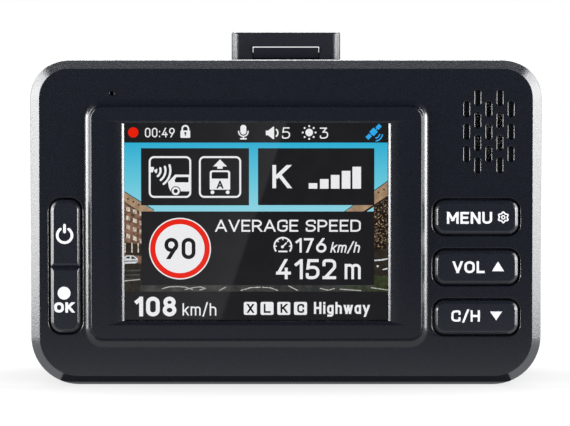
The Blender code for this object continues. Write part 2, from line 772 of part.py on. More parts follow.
def cut_back_openings(solid):
    """The camera hole and the laser window's opening."""
    stations = (HEAD_SEAT_Y - WALL, BACK_Y + 2 * OVER)
    hole = [(CAMERA_HOLE_RADIUS, station) for station in stations]
    cut(solid, turned("camera_hole", (CAMERA_X, CAMERA_Z), hole, steps=32))
    outline = rounded(span(LASER_X, LASER_SIZE[0]), span(LASER_Z, LASER_SIZE[1]), 2.3 * MM, steps=4)
    cut(solid, prism("laser_opening", outline, stations))


def add_screw_bosses(housing):
    """Tubes from the back wall to the front cover's bosses, each with a seat for a screw head."""
    for place in SCREW_PLACES:
        tube = [(BOSS_RADIUS, SEAM_Y - 2 * GAP), (BOSS_RADIUS, BACK_Y - WALL / 2)]
        join(housing, turned("tube", place, tube, steps=20))
        shank = [(SCREW_HOLE_RADIUS, SEAM_Y - OVER), (SCREW_HOLE_RADIUS, BACK_Y)]
        cut(housing, turned("shank_hole", place, shank, steps=16))
        seat = [(HEAD_HOLE_RADIUS, HEAD_SEAT_Y), (HEAD_HOLE_RADIUS, BACK_Y + OVER)]
        cut(housing, turned("head_hole", place, seat, steps=20))


def cut_side_openings(housing):
    """The memory card's slit with its finger scallop on the left, and the inlet on the right."""
    _, thick, height = CARD_SIZE
    slit_y = span(CARD_Y, thick + 2.6 * GAP)
    slit_z = span(CARD_Z, height + 2.6 * GAP)
    wall = (-HALF_WIDTH - OVER, -HALF_WIDTH + WALL + OVER)
    cut(housing, prism("card_slit", rectangle(slit_y, slit_z), wall, axis="X"))
    deep = rounded(span(CARD_Y, 4.0 * MM), span(CARD_Z, 7.0 * MM), 1.2 * MM, steps=4)
    wide = rounded(span(CARD_Y, 6.6 * MM), span(CARD_Z, 9.6 * MM), 2.5 * MM, steps=4)
    rings = [(wide, -HALF_WIDTH - 0.3 * MM), (deep, -HALF_WIDTH + 0.8 * MM)]
    cut(housing, loft("scallop", rings, axis="X"))

    wall = (HALF_WIDTH - WALL - OVER, HALF_WIDTH + OVER)
    outline = rounded(
        span(INLET_Y, INLET_SIZE[1] + 2 * GAP), span(INLET_Z, INLET_SIZE[2] + 2 * GAP), 0.6 * MM, steps=3
    )
    cut(housing, prism("inlet_opening", outline, wall, axis="X"))


def vent_cutters():
    """Two rows of slots in the top and one stack of slots in the back."""
    cutters = []
    through = (BODY_HEIGHT - WALL - GAP, BODY_HEIGHT + OVER)
    for side in (-1, 1):
        for index in range(5):
            x = side * (18.0 * MM + index * 3.2 * MM)
            outline = rounded(span(x, 1.4 * MM), (-1.0 * MM, 8.0 * MM), 0.65 * MM, steps=2)
            cutters.append(prism("top_vent", outline, through, axis="Z"))
    through = (BACK_Y - WALL - OVER, BACK_Y + OVER)
    for index in range(4):
        z = 10.0 * MM + index * 2.8 * MM
        outline = rounded((-27.0 * MM, -9.0 * MM), span(z, 1.4 * MM), 0.65 * MM, steps=2)
        cutters.append(prism("back_vent", outline, through))
    return cutters


def rear_housing():
    front = SEAM_Y + GAP
    lip_start = SEAM_Y - 2 * GAP
    lip_inset = WALL + GAP
    rings = [
        (body_outline(lip_inset), lip_start),
        (body_outline(lip_inset), front),
        (body_outline(SEAM_BEVEL), front),
        (body_outline(), front + SEAM_BEVEL),
    ]
    for step in range(6):
        angle = math.pi / 2 * step / 5
        inset = BACK_INSET * (1 - math.cos(angle))
        station = BACK_Y - BACK_ROUND * (1 - math.sin(angle))
        rings.append((body_outline(inset), station))
    housing = loft("rear_housing", rings)
    hollow = [
        (body_outline(lip_inset + LIP_THICK), lip_start - OVER),
        (body_outline(lip_inset + LIP_THICK), front + OVER),
        (body_outline(WALL), front + 2 * OVER),
        (body_outline(WALL), BACK_Y - BACK_ROUND),
        (body_outline(BACK_INSET + 0.7 * MM), BACK_Y - WALL),
    ]
    cut(housing, loft("hollow", hollow))
    add_screw_bosses(housing)
    recess = rounded(grown(PANEL_X, GAP), grown(PANEL_Z, GAP), PANEL_RADIUS + GAP)
    floor_y = BACK_Y + PANEL_PROUD - PANEL_THICK - GAP
    cut(housing, prism("panel_recess", recess, (floor_y, BACK_Y + OVER)))
    cut_back_openings(housing)
    cut_side_openings(housing)
    through = (BODY_HEIGHT - WALL - OVER, BODY_HEIGHT + OVER)
    for y in SHOE_SCREWS_Y:
        hole = [(SCREW_HOLE_RADIUS, station) for station in through]
        cut(housing, turned("shoe_hole", (0.0, y), hole, axis="Z", steps=16))
    cut(housing, gathered(vent_cutters()))
    return finish(housing, CASE_COLOUR, 0.45)


def card_parts():
    """The memory card and the metal socket that it slides into from the left."""
    length, thick, height = CARD_SIZE
    card_x = (CARD_EDGE_X, CARD_EDGE_X + length)
    card_y = span(CARD_Y, thick)
    card_z = span(CARD_Z, height)
    card = block("memory_card", card_x, card_y, card_z)
    set_origin(finish(card, BLACK_COLOUR, 0.4), (CARD_EDGE_X, CARD_Y, CARD_Z))

    mouth_x = -HALF_WIDTH + WALL + GAP
    socket_x = (mouth_x, card_x[1] + 2.5 * GAP)
    socket = block("memory_card_socket", socket_x, grown(card_y, 0.65 * MM), grown(card_z, 1.0 * MM))
    pocket_x = (mouth_x - OVER, card_x[1] + GAP)
    cut(socket, block("pocket", pocket_x, grown(card_y, GAP), grown(card_z, GAP)))
    finish(socket, STEEL_COLOUR, 0.3, 1.0)


def power_inlet():
    """A small metal socket in the right wall, with its contact tongue."""
    length, thick, height = INLET_SIZE
    mouth = HALF_WIDTH - 0.5 * MM
    y_range = span(INLET_Y, thick)
    z_range = span(INLET_Z, height)
    inlet = block("power_inlet", (mouth - length, mouth), y_range, z_range)
    inside_y = grown(y_range, -0.4 * MM)
    inside_z = grown(z_range, -0.4 * MM)
    cut(inlet, block("inside", (mouth - length + OVER, mouth + OVER), inside_y, inside_z))
    tongue_x = (mouth - length + OVER / 2, mouth - 1.2 * MM)
    join(inlet, block("tongue", tongue_x, span(INLET_Y, 0.7 * MM), span(INLET_Z, 5.0 * MM)))
    finish(inlet, STEEL_COLOUR, 0.25, 1.0)


def screw_profile(head_start, head_end, tip):
    """Head and shank of a round screw along its axis; head_end is the outer face of the head."""
    step = math.copysign(0.3 * MM, head_end - head_start)
    return [
        (HEAD_RADIUS - 0.3 * MM, head_end),
        (HEAD_RADIUS, head_end - step),
        (HEAD_RADIUS, head_start),
        (SCREW_RADIUS, head_start),
        (SCREW_RADIUS, tip),
    ]


def screws():
    head = HEAD_SEAT_Y + GAP
    profile = screw_profile(head, head + HEAD_THICK, PLATE_BACK_Y + 2 * GAP)
    for number, place in enumerate(SCREW_PLACES, 1):
        screw = turned(f"case_screw_{number}", place, profile, steps=12)
        finish(screw, STEEL_COLOUR, 0.3, 1.0)
    head = BODY_HEIGHT - WALL - GAP
    profile = screw_profile(head, head - HEAD_THICK, SHOE_SCREW_TIP_Z)
    for number, y in enumerate(SHOE_SCREWS_Y, 1):
        screw = turned(f"shoe_screw_{number}", (0.0, y), profile, axis="Z", steps=12)
        finish(screw, STEEL_COLOUR, 0.3, 1.0)


def mount_shoe():
    """The block on the top: a front stop, and behind it a T-shaped rail for the bracket.

    A channel runs through the rail behind the release tab, so light shows round the tab's upper edges.
    """
    half = SHOE_WIDTH / 2
    edge = 0.3 * MM
    full = rounded((-half, half), SHOE_Y, SHOE_RADIUS, steps=4)
    small = rounded(grown((-half, half), -edge), grown(SHOE_Y, -edge), SHOE_RADIUS - edge, steps=4)
    rings = [(full, SHOE_BASE_Z), (full, SHOE_TOP_Z - edge), (small, SHOE_TOP_Z)]
    shoe = loft("mount_shoe", rings, axis="Z")
    groove_y = (SHOE_Y[0] + SHOE_STOP_THICK, SHOE_Y[1] + OVER)
    groove_z = (SHOE_BASE_Z - OVER, RAIL_GROOVE_TOP_Z)
    foot = RAIL_FOOT_WIDTH / 2
    for x_range in ((-half - OVER, -foot), (foot, half + OVER)):
        cut(shoe, block("groove", x_range, groove_y, groove_z))
    pocket_x = grown((-RELEASE_WIDTH / 2, RELEASE_WIDTH / 2), GAP)
    pocket_y = (SHOE_Y[0] - OVER, SHOE_Y[0] + RELEASE_DEPTH + RELEASE_TRAVEL + GAP)
    cut(shoe, block("release_pocket", pocket_x, pocket_y, (SHOE_BASE_Z - OVER, RELEASE_TOP_Z + GAP)))
    channel_y = (pocket_y[1] - OVER, SHOE_Y[1] + OVER)
    cut(shoe, block("channel", pocket_x, channel_y, CHANNEL_Z))
    for y in SHOE_SCREWS_Y:
        hole = [(SCREW_HOLE_RADIUS, SHOE_BASE_Z - OVER), (SCREW_HOLE_RADIUS, CHANNEL_Z[0] + GAP)]
        cut(shoe, turned("screw_hole", (0.0, y), hole, axis="Z", steps=16))
    finish(shoe, CASE_COLOUR, 0.45)


def release_button():
    """The tab in the shoe's front: proud at its top edge, flush at its foot."""
    front = SHOE_Y[0]
    back = front + RELEASE_DEPTH
    edge = 0.3 * MM

    def profile(inset):
        proud = front - RELEASE_PROUD + inset
        top = RELEASE_TOP_Z - inset
        return [
            (back, SHOE_BASE_Z),
            (front + inset, SHOE_BASE_Z),
            (proud, top - edge),
            (proud + edge, top),
            (back, top),
        ]

    half = RELEASE_WIDTH / 2
    rings = [
        (profile(edge), -half),
        (profile(0.0), -half + edge),
        (profile(0.0), half - edge),
        (profile(edge), half),
    ]
    tab = finish(loft("mount_release_button", rings, axis="X"), KEY_COLOUR, 0.42)
    set_origin(tab, (0.0, front, SHOE_BASE_Z))


def build():
    clear_scene()
    front_cover()
    screen_stack()
    left_keys()
    right_keys()
    key_boards()
    speaker_parts()
    main_board()
    board_parts()
    radar_parts()
    laser_parts()
    camera_parts()
    rear_panel()
    rear_housing()
    card_parts()
    power_inlet()
    screws()
    mount_shoe()
    release_button()


build()
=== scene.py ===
"""Looks for the combined radar detector and drive recorder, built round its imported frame.

Metres, +Z up. The screen and keys face -Y, and the road camera faces +Y.
"""

import math

import bmesh
import bpy
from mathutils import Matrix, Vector


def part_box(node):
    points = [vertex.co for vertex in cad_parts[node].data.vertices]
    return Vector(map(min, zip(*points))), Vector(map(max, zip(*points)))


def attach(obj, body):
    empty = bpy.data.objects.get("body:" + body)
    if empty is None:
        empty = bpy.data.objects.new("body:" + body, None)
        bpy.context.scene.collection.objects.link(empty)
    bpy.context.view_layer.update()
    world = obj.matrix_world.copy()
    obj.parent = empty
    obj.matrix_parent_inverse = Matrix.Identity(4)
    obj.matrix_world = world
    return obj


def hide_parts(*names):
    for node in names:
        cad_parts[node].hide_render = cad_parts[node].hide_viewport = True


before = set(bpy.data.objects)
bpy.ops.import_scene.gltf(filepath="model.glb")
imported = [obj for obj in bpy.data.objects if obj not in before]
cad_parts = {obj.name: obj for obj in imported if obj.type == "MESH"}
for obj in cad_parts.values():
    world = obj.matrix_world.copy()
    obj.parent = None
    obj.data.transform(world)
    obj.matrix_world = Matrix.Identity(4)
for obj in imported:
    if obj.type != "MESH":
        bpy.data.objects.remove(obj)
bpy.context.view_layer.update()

MM = 0.001
TINY = 0.01 * MM
OVER = 1.0 * MM  # how far a cutter runs past the face that it opens
GAP = 0.3 * MM
CORNER_STEPS = 14
SMOOTH_BELOW = math.radians(32)
EVEN = (1.0, 1.0, 1.0)  # a scale that stretches nothing

# Case, read from the frame
COVER_LOW, COVER_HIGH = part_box("front_cover")
HALF_WIDTH = COVER_HIGH.x
BODY_HEIGHT = COVER_HIGH.z
CREST_Y = COVER_LOW.y
SEAM_Y = COVER_HIGH.y
BACK_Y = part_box("rear_housing")[1].y
TOP_RADIUS = 7.2 * MM
BASE_RADIUS = 8.9 * MM
CHAMFER = 1.7 * MM
WALL = 2.0 * MM
FRAME_RISE = 1.2 * MM
FRONT_Y = CREST_Y + FRAME_RISE
PLATE_BACK_Y = FRONT_Y + WALL
SEAM_BEVEL = 0.25 * MM
LIP_THICK = 0.9 * MM
BACK_ROUND = 4.5 * MM
BACK_INSET = 3.5 * MM

# Raised screen frame and its window: (left, right, low, high)
FRAME_FOOT = (-37.35 * MM, 26.5 * MM, 6.9 * MM, 53.0 * MM)
FRAME_CREST = (-36.0 * MM, 25.1 * MM, 8.7 * MM, 51.55 * MM)
FOOT_RADIUS = 3.6 * MM
CREST_RADIUS = 2.2 * MM
CREST_BEVEL = 0.12 * MM
FLANK_STEPS = 10
FLANK_END = math.radians(78)
WINDOW_CREST = (-33.7 * MM, 22.7 * MM, 11.2 * MM, 48.95 * MM)
WINDOW_LIP = (-30.16 * MM, 19.22 * MM, 11.93 * MM, 48.58 * MM)
LIP_BEVEL = 0.3 * MM
LIP_BEVEL_DEPTH = 0.24 * MM
WINDOW_RADIUS = 0.15 * MM
RAMP_DEPTH = 0.4 * MM
RAMP_STEPS = 14
GLASS_MARGIN = 1.5 * MM

# Keys and their wells
KEY_EDGE = 0.55 * MM
KEY_EDGE_DEPTH = 0.48 * MM
FLANGE_THICK = 0.8 * MM
STEM_RADIUS = 1.2 * MM
RIGHT_KEYS = ("menu_button", "volume_up_button", "city_highway_button")
KEYS = ("power_button", "ok_button", *RIGHT_KEYS)
LEFT_KEY_RADIUS = 2.0 * MM
RIGHT_KEY_RADIUS = 1.85 * MM
SPLIT_RADIUS = 0.3 * MM
KEY_RADII = {"power_button": (SPLIT_RADIUS, LEFT_KEY_RADIUS), "ok_button": (LEFT_KEY_RADIUS, SPLIT_RADIUS)}
KEY_FLANGE = 1.0 * MM
SPLIT_STEP = 0.18 * MM
WELL_FILLET = 0.26 * MM
LEFT_WELL_MARGIN = 0.32 * MM
RIGHT_WELL_MARGIN = (0.37 * MM, 0.34 * MM)

# Speaker slots and the microphone hole
SPEAKER_X = 37.46 * MM
SPEAKER_Z = BODY_HEIGHT / 2 + 16.88 * MM
SLOT_SIZE = (0.96 * MM, 2.98 * MM)
SLOT_FILLET = 0.17 * MM
COLUMN_PITCH = 2.05 * MM
ROW_PITCH = 4.15 * MM
BLIND_SLOT_DEPTH = 0.7 * MM
MIC_X = -32.1 * MM
MIC_Z = BODY_HEIGHT / 2 + 23.9 * MM
MIC_RADIUS = 0.4 * MM

# Screws and the back
HEAD_HOLE_RADIUS = 2.0 * MM
SHANK_HOLE_RADIUS = 1.3 * MM
BOSS_RADIUS = 2.5 * MM
HEAD_SEAT_Y = 14.0 * MM
PANEL_RADIUS = 5.0 * MM
VENT_WIDTH = 1.4 * MM
VENT_RADIUS = 0.65 * MM
VENT_FILLET = 0.2 * MM
CAMERA_HOLE_RADIUS = 8.5 * MM
LASER_OPENING = (20.0 * MM, 10.0 * MM)
LENS_SEAT_Y = 17.6 * MM
LENS_EDGE_Y = 18.5 * MM

# Speaker screen and mounting shoe
MESH_PITCH = 0.56 * MM
MESH_HOLE = 0.17 * MM
KNUCKLE = 0.035 * MM  # the height of the speaker screen's knuckles
SLIT = 0.17 * MM  # between the release tab and the shoe
RAIL_FOOT = 8.1 * MM

# The picture: the display cell has 320 by 240 dots
DOTS = (320, 240)
PICTURE_X = (-30.1 * MM, 18.85 * MM)
PICTURE_Z = (11.98 * MM, 48.54 * MM)
LAYER = 0.025 * MM
SHAPE_STEP = 0.0002 * MM


def on_axis(axis, u, v, station):
    """The point at (u, v) in the plane across the axis, at a station along it."""
    if axis == "X":
        return (station, u, v)
    if axis == "Y":
        return (u, station, v)
    return (u, v, station)


def span(centre, size):
    return (centre - size / 2, centre + size / 2)


def grown(limits, margin):
    return (limits[0] - margin, limits[1] + margin)


def between(first, second, share):
    return tuple(a + (b - a) * share for a, b in zip(first, second))


def arc(centre, radius, start, end, steps=24):
    """Points on an arc, with its angles in degrees."""
    angles = [math.radians(start + (end - start) * step / steps) for step in range(steps + 1)]
    return [(centre[0] + radius * math.cos(angle), centre[1] + radius * math.sin(angle)) for angle in angles]


def radial(centre, angle, *radii):
    """Points at the radii, all in one direction from the centre."""
    return [arc(centre, radius, angle, angle, 1)[0] for radius in radii]


def circle(centre, radius, steps=48):
    return arc(centre, radius, 0, 360, steps)[:-1]


def rectangle(u_range, v_range):
    left, right = u_range
    low, high = v_range
    return [(left, low), (right, low), (right, high), (left, high)]


def rounded(u_range, v_range, low_radius, high_radius=None, steps=CORNER_STEPS):
    """Outline of a rectangle whose lower and upper corners are arcs."""
    high_radius = low_radius if high_radius is None else high_radius
    left, right = u_range
    low, high = v_range
    corners = (
        ((left + low_radius, low + low_radius), low_radius, 180),
        ((right - low_radius, low + low_radius), low_radius, 270),
        ((right - high_radius, high - high_radius), high_radius, 0),
        ((left + high_radius, high - high_radius), high_radius, 90),
    )
    points = []
    for centre, radius, start in corners:
        points += arc(centre, radius, start, start + 90, steps)
    return points


def bridge(mesh, first, second):
    """Faces between two closed loops of equal count."""
    for i in range(len(first)):
        j = (i + 1) % len(first)
        mesh.faces.new((first[i], first[j], second[j], second[i]))


def ranges(node):
    """A node's (low, high) along X, along Y and along Z."""
    return tuple(zip(*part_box(node)))


def middle_of(node):
    low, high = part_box(node)
    return (low + high) / 2


def filleted(corners, steps=6, is_closed=False):
    """A path through corners given as (u, v, radius), with an arc at each corner that has a radius."""
    count = len(corners)
    points = []
    for index, (u, v, radius) in enumerate(corners):
        is_end = not is_closed and index in (0, count - 1)
        if is_end or radius <= 0:
            points.append((u, v))
            continue
        here = Vector((u, v))
        back = Vector(corners[index - 1][:2]) - here
        ahead = Vector(corners[(index + 1) % count][:2]) - here
        half = back.angle(ahead) / 2
        reach = min(radius / math.tan(half), 0.499 * back.length, 0.499 * ahead.length)
        radius = reach * math.tan(half)
        middle = here + (back.normalized() + ahead.normalized()).normalized() * radius / math.sin(half)
        first = here + back.normalized() * reach - middle
        last = here + ahead.normalized() * reach - middle
        turn = first.angle_signed(last)
        for step in range(steps + 1):
            angle = -turn * step / steps
            cosine, sine = math.cos(angle), math.sin(angle)
            arm = Vector((first.x * cosine - first.y * sine, first.x * sine + first.y * cosine))
            points.append(tuple(middle + arm))
    return points


def body_outline(inset=0.0):
    """The case seen from the front, drawn in from its edge."""
    x_range, z_range = (inset - HALF_WIDTH, HALF_WIDTH - inset), (inset, BODY_HEIGHT - inset)
    return rounded(x_range, z_range, BASE_RADIUS - inset, TOP_RADIUS - inset)


def new_object(name, mesh):
    """An object from a bmesh, which is freed."""
    bmesh.ops.recalc_face_normals(mesh, faces=mesh.faces)
    data = bpy.data.meshes.new(name)
    mesh.to_mesh(data)
    mesh.free()
    made = bpy.data.objects.new(name, data)
    bpy.context.collection.objects.link(made)
    return made


def loft(name, rings, axis="Y", is_ring=False):
    """A closed solid through outlines of equal point count, each with its station on the axis.

    With is_ring the last outline joins the first, which leaves a hole through the middle.
    """
    mesh = bmesh.new()
    loops = []
    for outline, station in rings:
        loops.append([mesh.verts.new(on_axis(axis, u, v, station)) for u, v in outline])
    pairs = list(zip(loops, loops[1:]))
    if is_ring:
        pairs.append((loops[-1], loops[0]))
    else:
        mesh.faces.new(loops[0])
        mesh.faces.new(loops[-1])
    for first, second in pairs:
        bridge(mesh, first, second)
    return new_object(name, mesh)


def prism(name, outline, stations, axis="Y"):
    """A straight solid between two stations."""
    return loft(name, [(outline, station) for station in stations], axis)


def rod(name, centre, radius, stations, axis="Y", steps=32):
    """A round straight solid between two stations."""
    return prism(name, circle(centre, radius, steps), stations, axis)


def slab(name, u_range, v_range, radius, edge, steps=6, axis="Y"):
    """A rounded slab; edge is its (inset, station, fillet) path from face to face."""
    rings = []
    for inset, station in filleted(edge, steps):
        rings.append((rounded(grown(u_range, -inset), grown(v_range, -inset), radius - inset), station))
    return loft(name, rings, axis)


def turned(name, centre, profile, axis="Y", is_ring=False, steps=64):
    """A turned solid: profile is a list of (radius, station on the axis)."""
    return loft(name, [(circle(centre, r, steps), s) for r, s in profile], axis, is_ring)


def gathered(solids):
    """One object that holds several separate solids, for cutting them out in one step."""
    mesh = bmesh.new()
    for solid in solids:
        mesh.from_mesh(solid.data)
        bpy.data.objects.remove(solid, do_unlink=True)
    return new_object("gathered", mesh)


def combine(target, tool, operation="DIFFERENCE"):
    """Cut the tool out of the target, or join it to it, and remove the tool."""
    modifier = target.modifiers.new(operation, "BOOLEAN")
    modifier.operation = operation
    modifier.object = tool
    graph = bpy.context.evaluated_depsgraph_get()
    result = bpy.data.meshes.new_from_object(target.evaluated_get(graph))
    result.name = target.name
    target.modifiers.remove(modifier)
    target.data = result
    bpy.data.objects.remove(tool, do_unlink=True)


def flared(name, outline_at, surface, end, fillet, axis="Y", steps=5):
    """A cutter whose mouth widens by a round edge where it meets the surface.

    outline_at(margin) is the opening's outline, grown by the margin.
    """
    inward = 1 if end > surface else -1
    rings = [(outline_at(fillet + TINY), surface - inward * OVER)]
    rings.append((outline_at(fillet + TINY), surface - inward * TINY))
    for step in range(1, steps + 1):
        angle = math.pi / 2 * step / steps
        depth = fillet * (1 - math.cos(angle))
        rings.append((outline_at(fillet * (1 - math.sin(angle))), surface + inward * depth))
    rings.append((outline_at(0.0), end))
    return loft(name, rings, axis)


def shade(piece):
    """Smooth round faces, flat large ones, and crisp edges where faces meet at a steep angle."""
    piece.data.shade_smooth()
    piece.data.set_sharp_from_angle(angle=SMOOTH_BELOW)
    weighted = piece.modifiers.new("weighted", "WEIGHTED_NORMAL")
    weighted.keep_sharp = True


def finish(piece, body, slot, look, *replaced):
    """Give a piece its material, its body and the nodes that it stands for; slot is not used."""
    piece.data.materials.clear()
    piece.data.materials.append(look)
    shade(piece)
    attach(piece, body)
    if replaced:
        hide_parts(*replaced)


def plug(tree, node, inputs):
    """Give a node's inputs, by name or number, a value or a link each."""
    for key, value in inputs.items():
        if isinstance(value, bpy.types.NodeSocket):
            tree.links.new(value, node.inputs[key])
        else:
            node.inputs[key].default_value = value
    return node


def add_node(tree, kind, inputs, operation=None):
    node = tree.nodes.new("ShaderNode" + kind)
    if operation:
        node.operation = operation
    return plug(tree, node, inputs)


def remapped(tree, value, start, end, low=0.0, high=1.0):
    """The value's place between start and end, as a number from low to high."""
    return add_node(tree, "MapRange", {0: value, 1: start, 2: end, 3: low, 4: high}).outputs[0]


def ramped(tree, source, stops):
    """Colours along a source value; stops is a list of (position, colour)."""
    node = add_node(tree, "ValToRGB", {"Fac": source})
    elements = node.color_ramp.elements
    for element, (position, colour) in ((elements[0], stops[0]), (elements[1], stops[-1])):
        element.position, element.color = position, (*colour, 1.0)
    for position, colour in stops[1:-1]:
        elements.new(position).color = (*colour, 1.0)
    return node.outputs["Color"]


class Look:
    """A procedural material on a Principled shader, in the piece's own coordinates."""

    def __init__(self, name, specular=0.5, metallic=0.0):
        self.material = bpy.data.materials.new(name)
        self.material.use_nodes = True
        self.tree = self.material.node_tree
        self.shader = self.tree.nodes["Principled BSDF"]
        self.place = self.tree.nodes.new("ShaderNodeTexCoord").outputs["Object"]
        self.put({"Specular IOR Level": specular, "Metallic": metallic})

    def put(self, inputs):
        """Give the shader's inputs a value or a link each."""
        plug(self.tree, self.shader, inputs)
        return self

    def noise(self, size, stretch=EVEN):
        """Noise whose features are about this size, as an output from 0 to 1."""
        place = add_node(self.tree, "Mapping", {"Vector": self.place, "Scale": stretch}).outputs[0]
        noise = add_node(self.tree, "TexNoise", {"Vector": place, "Scale": 1.0 / size, "Detail": 3.0})
        return noise.outputs["Fac"]

    def mottled(self, size, first, second, turn=(0.35, 0.65), target="Base Color"):
        """Two colours that run into each other; turn says where in the noise the first gives way."""
        stops = [(turn[0], first), (turn[1], second)]
        return self.put({target: ramped(self.tree, self.noise(size), stops)})

    def rough(self, size, low, high, stretch=EVEN, where=None, extra=0.0):
        """Roughness that wanders between two values, and is higher by the extra where the mask is 1."""
        value = remapped(self.tree, self.noise(size, stretch), 0.3, 0.7, low, high)
        if where:
            value = add_node(self.tree, "Math", {0: where, 1: extra, 2: value}, "MULTIPLY_ADD").outputs[0]
        return self.put({"Roughness": value})

    def bump(self, size, height, stretch=EVEN, **inputs):
        """Relief of about this size and height, as a normal."""
        relief = {"Distance": height, "Height": self.noise(size, stretch), **inputs}
        return add_node(self.tree, "Bump", relief).outputs[0]

    def bumpy(self, size, height, stretch=EVEN):
        return self.put({"Normal": self.bump(size, height, stretch)})

    def along(self, axis, start, end):
        """0 before the start station on an axis and 1 after the end station."""
        parts = add_node(self.tree, "SeparateXYZ", {0: self.place})
        return remapped(self.tree, parts.outputs[axis], start, end)

    def eroded(self, size, height, where):
        """Coarse spark-eroded grain where the mask is 1, over a fine grain everywhere."""
        fine = self.bump(size / 3, height / 45)
        return self.put({"Normal": self.bump(size, height, Strength=where, Normal=fine)})


def case_plastic():
    """Satin black plastic: smooth on the front face, spark-eroded on the chamfer and the sides."""
    look = Look("case_plastic", specular=1.0)
    look.mottled(0.5 * MM, (0.0032, 0.0046, 0.0092), (0.0041, 0.0059, 0.0114))
    coarse = look.along("Y", FRONT_Y + 0.03 * MM, FRONT_Y + 0.12 * MM)
    walls = look.along("Y", FRONT_Y + CHAMFER + 0.1 * MM, FRONT_Y + CHAMFER + 0.5 * MM)
    look.rough(0.25 * MM, 0.235, 0.285, where=walls, extra=0.48)
    return look.eroded(0.3 * MM, 0.024 * MM, coarse).material


def component_black():
    shades = ((0.008, 0.008, 0.009), (0.014, 0.014, 0.015))
    return surface("component_black", *shades, 1.0, (0.4, 0.40, 0.58), (0.1, 0.003))


def surface(name, first, second, mottle, rough, bump=None, specular=0.5, metallic=0.0, turn=(0.35, 0.65)):
    """A two-tone surface; rough is (size, low, high) and bump is (size, height), sizes in millimetres."""
    look = Look(name, specular, metallic).mottled(mottle * MM, first, second, turn)
    look.rough(rough[0] * MM, *rough[1:])
    if bump:
        look.bumpy(bump[0] * MM, bump[1] * MM)
    return look.material


def steel(name, shade_of_grey, low, high):
    """Brushed metal."""
    look = Look(name, metallic=1.0)
    dark, light = shade_of_grey * 0.92, shade_of_grey * 1.06
    look.mottled(1.5 * MM, (dark, dark, dark * 1.02), (light, light, light * 1.02))
    look.rough(0.3 * MM, low, high, (1.0, 1.0, 8.0))
    return look.bumpy(0.08 * MM, 0.0015 * MM, (1.0, 1.0, 10.0)).material


def plain_look(name, first, second, low, high, grain=0.3, height=0.003, metallic=0.0):
    """A lesser part's surface, by the size of its grain in millimetres."""
    return surface(name, first, second, 4 * grain, (2 * grain, low, high), (grain, height), metallic=metallic)


def clear_glass():
    look = Look("clear_glass").put({"Base Color": (1.0, 1.0, 1.0, 1.0), "Transmission Weight": 1.0, "IOR": 1.5})
    return look.rough(9.0 * MM, 0.0, 0.012).material


def lens_coating():
    look = Look("lens_coating", specular=0.8)
    look.mottled(5.0 * MM, (0.003, 0.003, 0.009), (0.010, 0.004, 0.012))
    look.put({"Coat Weight": 1.0, "Coat Roughness": 0.02, "Coat Tint": (0.62, 0.7, 1.0, 1.0)})
    return look.rough(3.0 * MM, 0.02, 0.05).material


def linear(red, green, blue):
    """Display colour values from 0 to 255 as linear light."""

    def one(value):
        share = value / 255
        return share / 12.92 if share <= 0.04045 else ((share + 0.055) / 1.055) ** 2.4

    return (one(red), one(green), one(blue))


SCREEN_GAIN = 1.06
SCREEN_NOISE = 0.35 * MM


def lamp(name):
    """A surface that only gives off light."""
    look = Look(name, specular=0.0)
    return look.put({"Base Color": (0.0, 0.0, 0.0, 1.0), "Roughness": 0.6, "Emission Strength": SCREEN_GAIN})


def lit(name, colour, second=None, size=SCREEN_NOISE, turn=(0.35, 0.65)):
    """A lit picture colour, with the faint unevenness of a backlit cell."""
    first = linear(*colour)
    second = linear(*second) if second else tuple(0.94 * value for value in first)
    return lamp(name).mottled(size, first, second, turn, "Emission Color").material


def graded(name, stops, z_range):
    """A lit colour that changes with height."""
    look = lamp(name)
    colours = [(position, linear(*colour)) for position, colour in stops]
    share = look.along("Z", *z_range)
    return look.put({"Emission Color": ramped(look.tree, share, colours)}).material


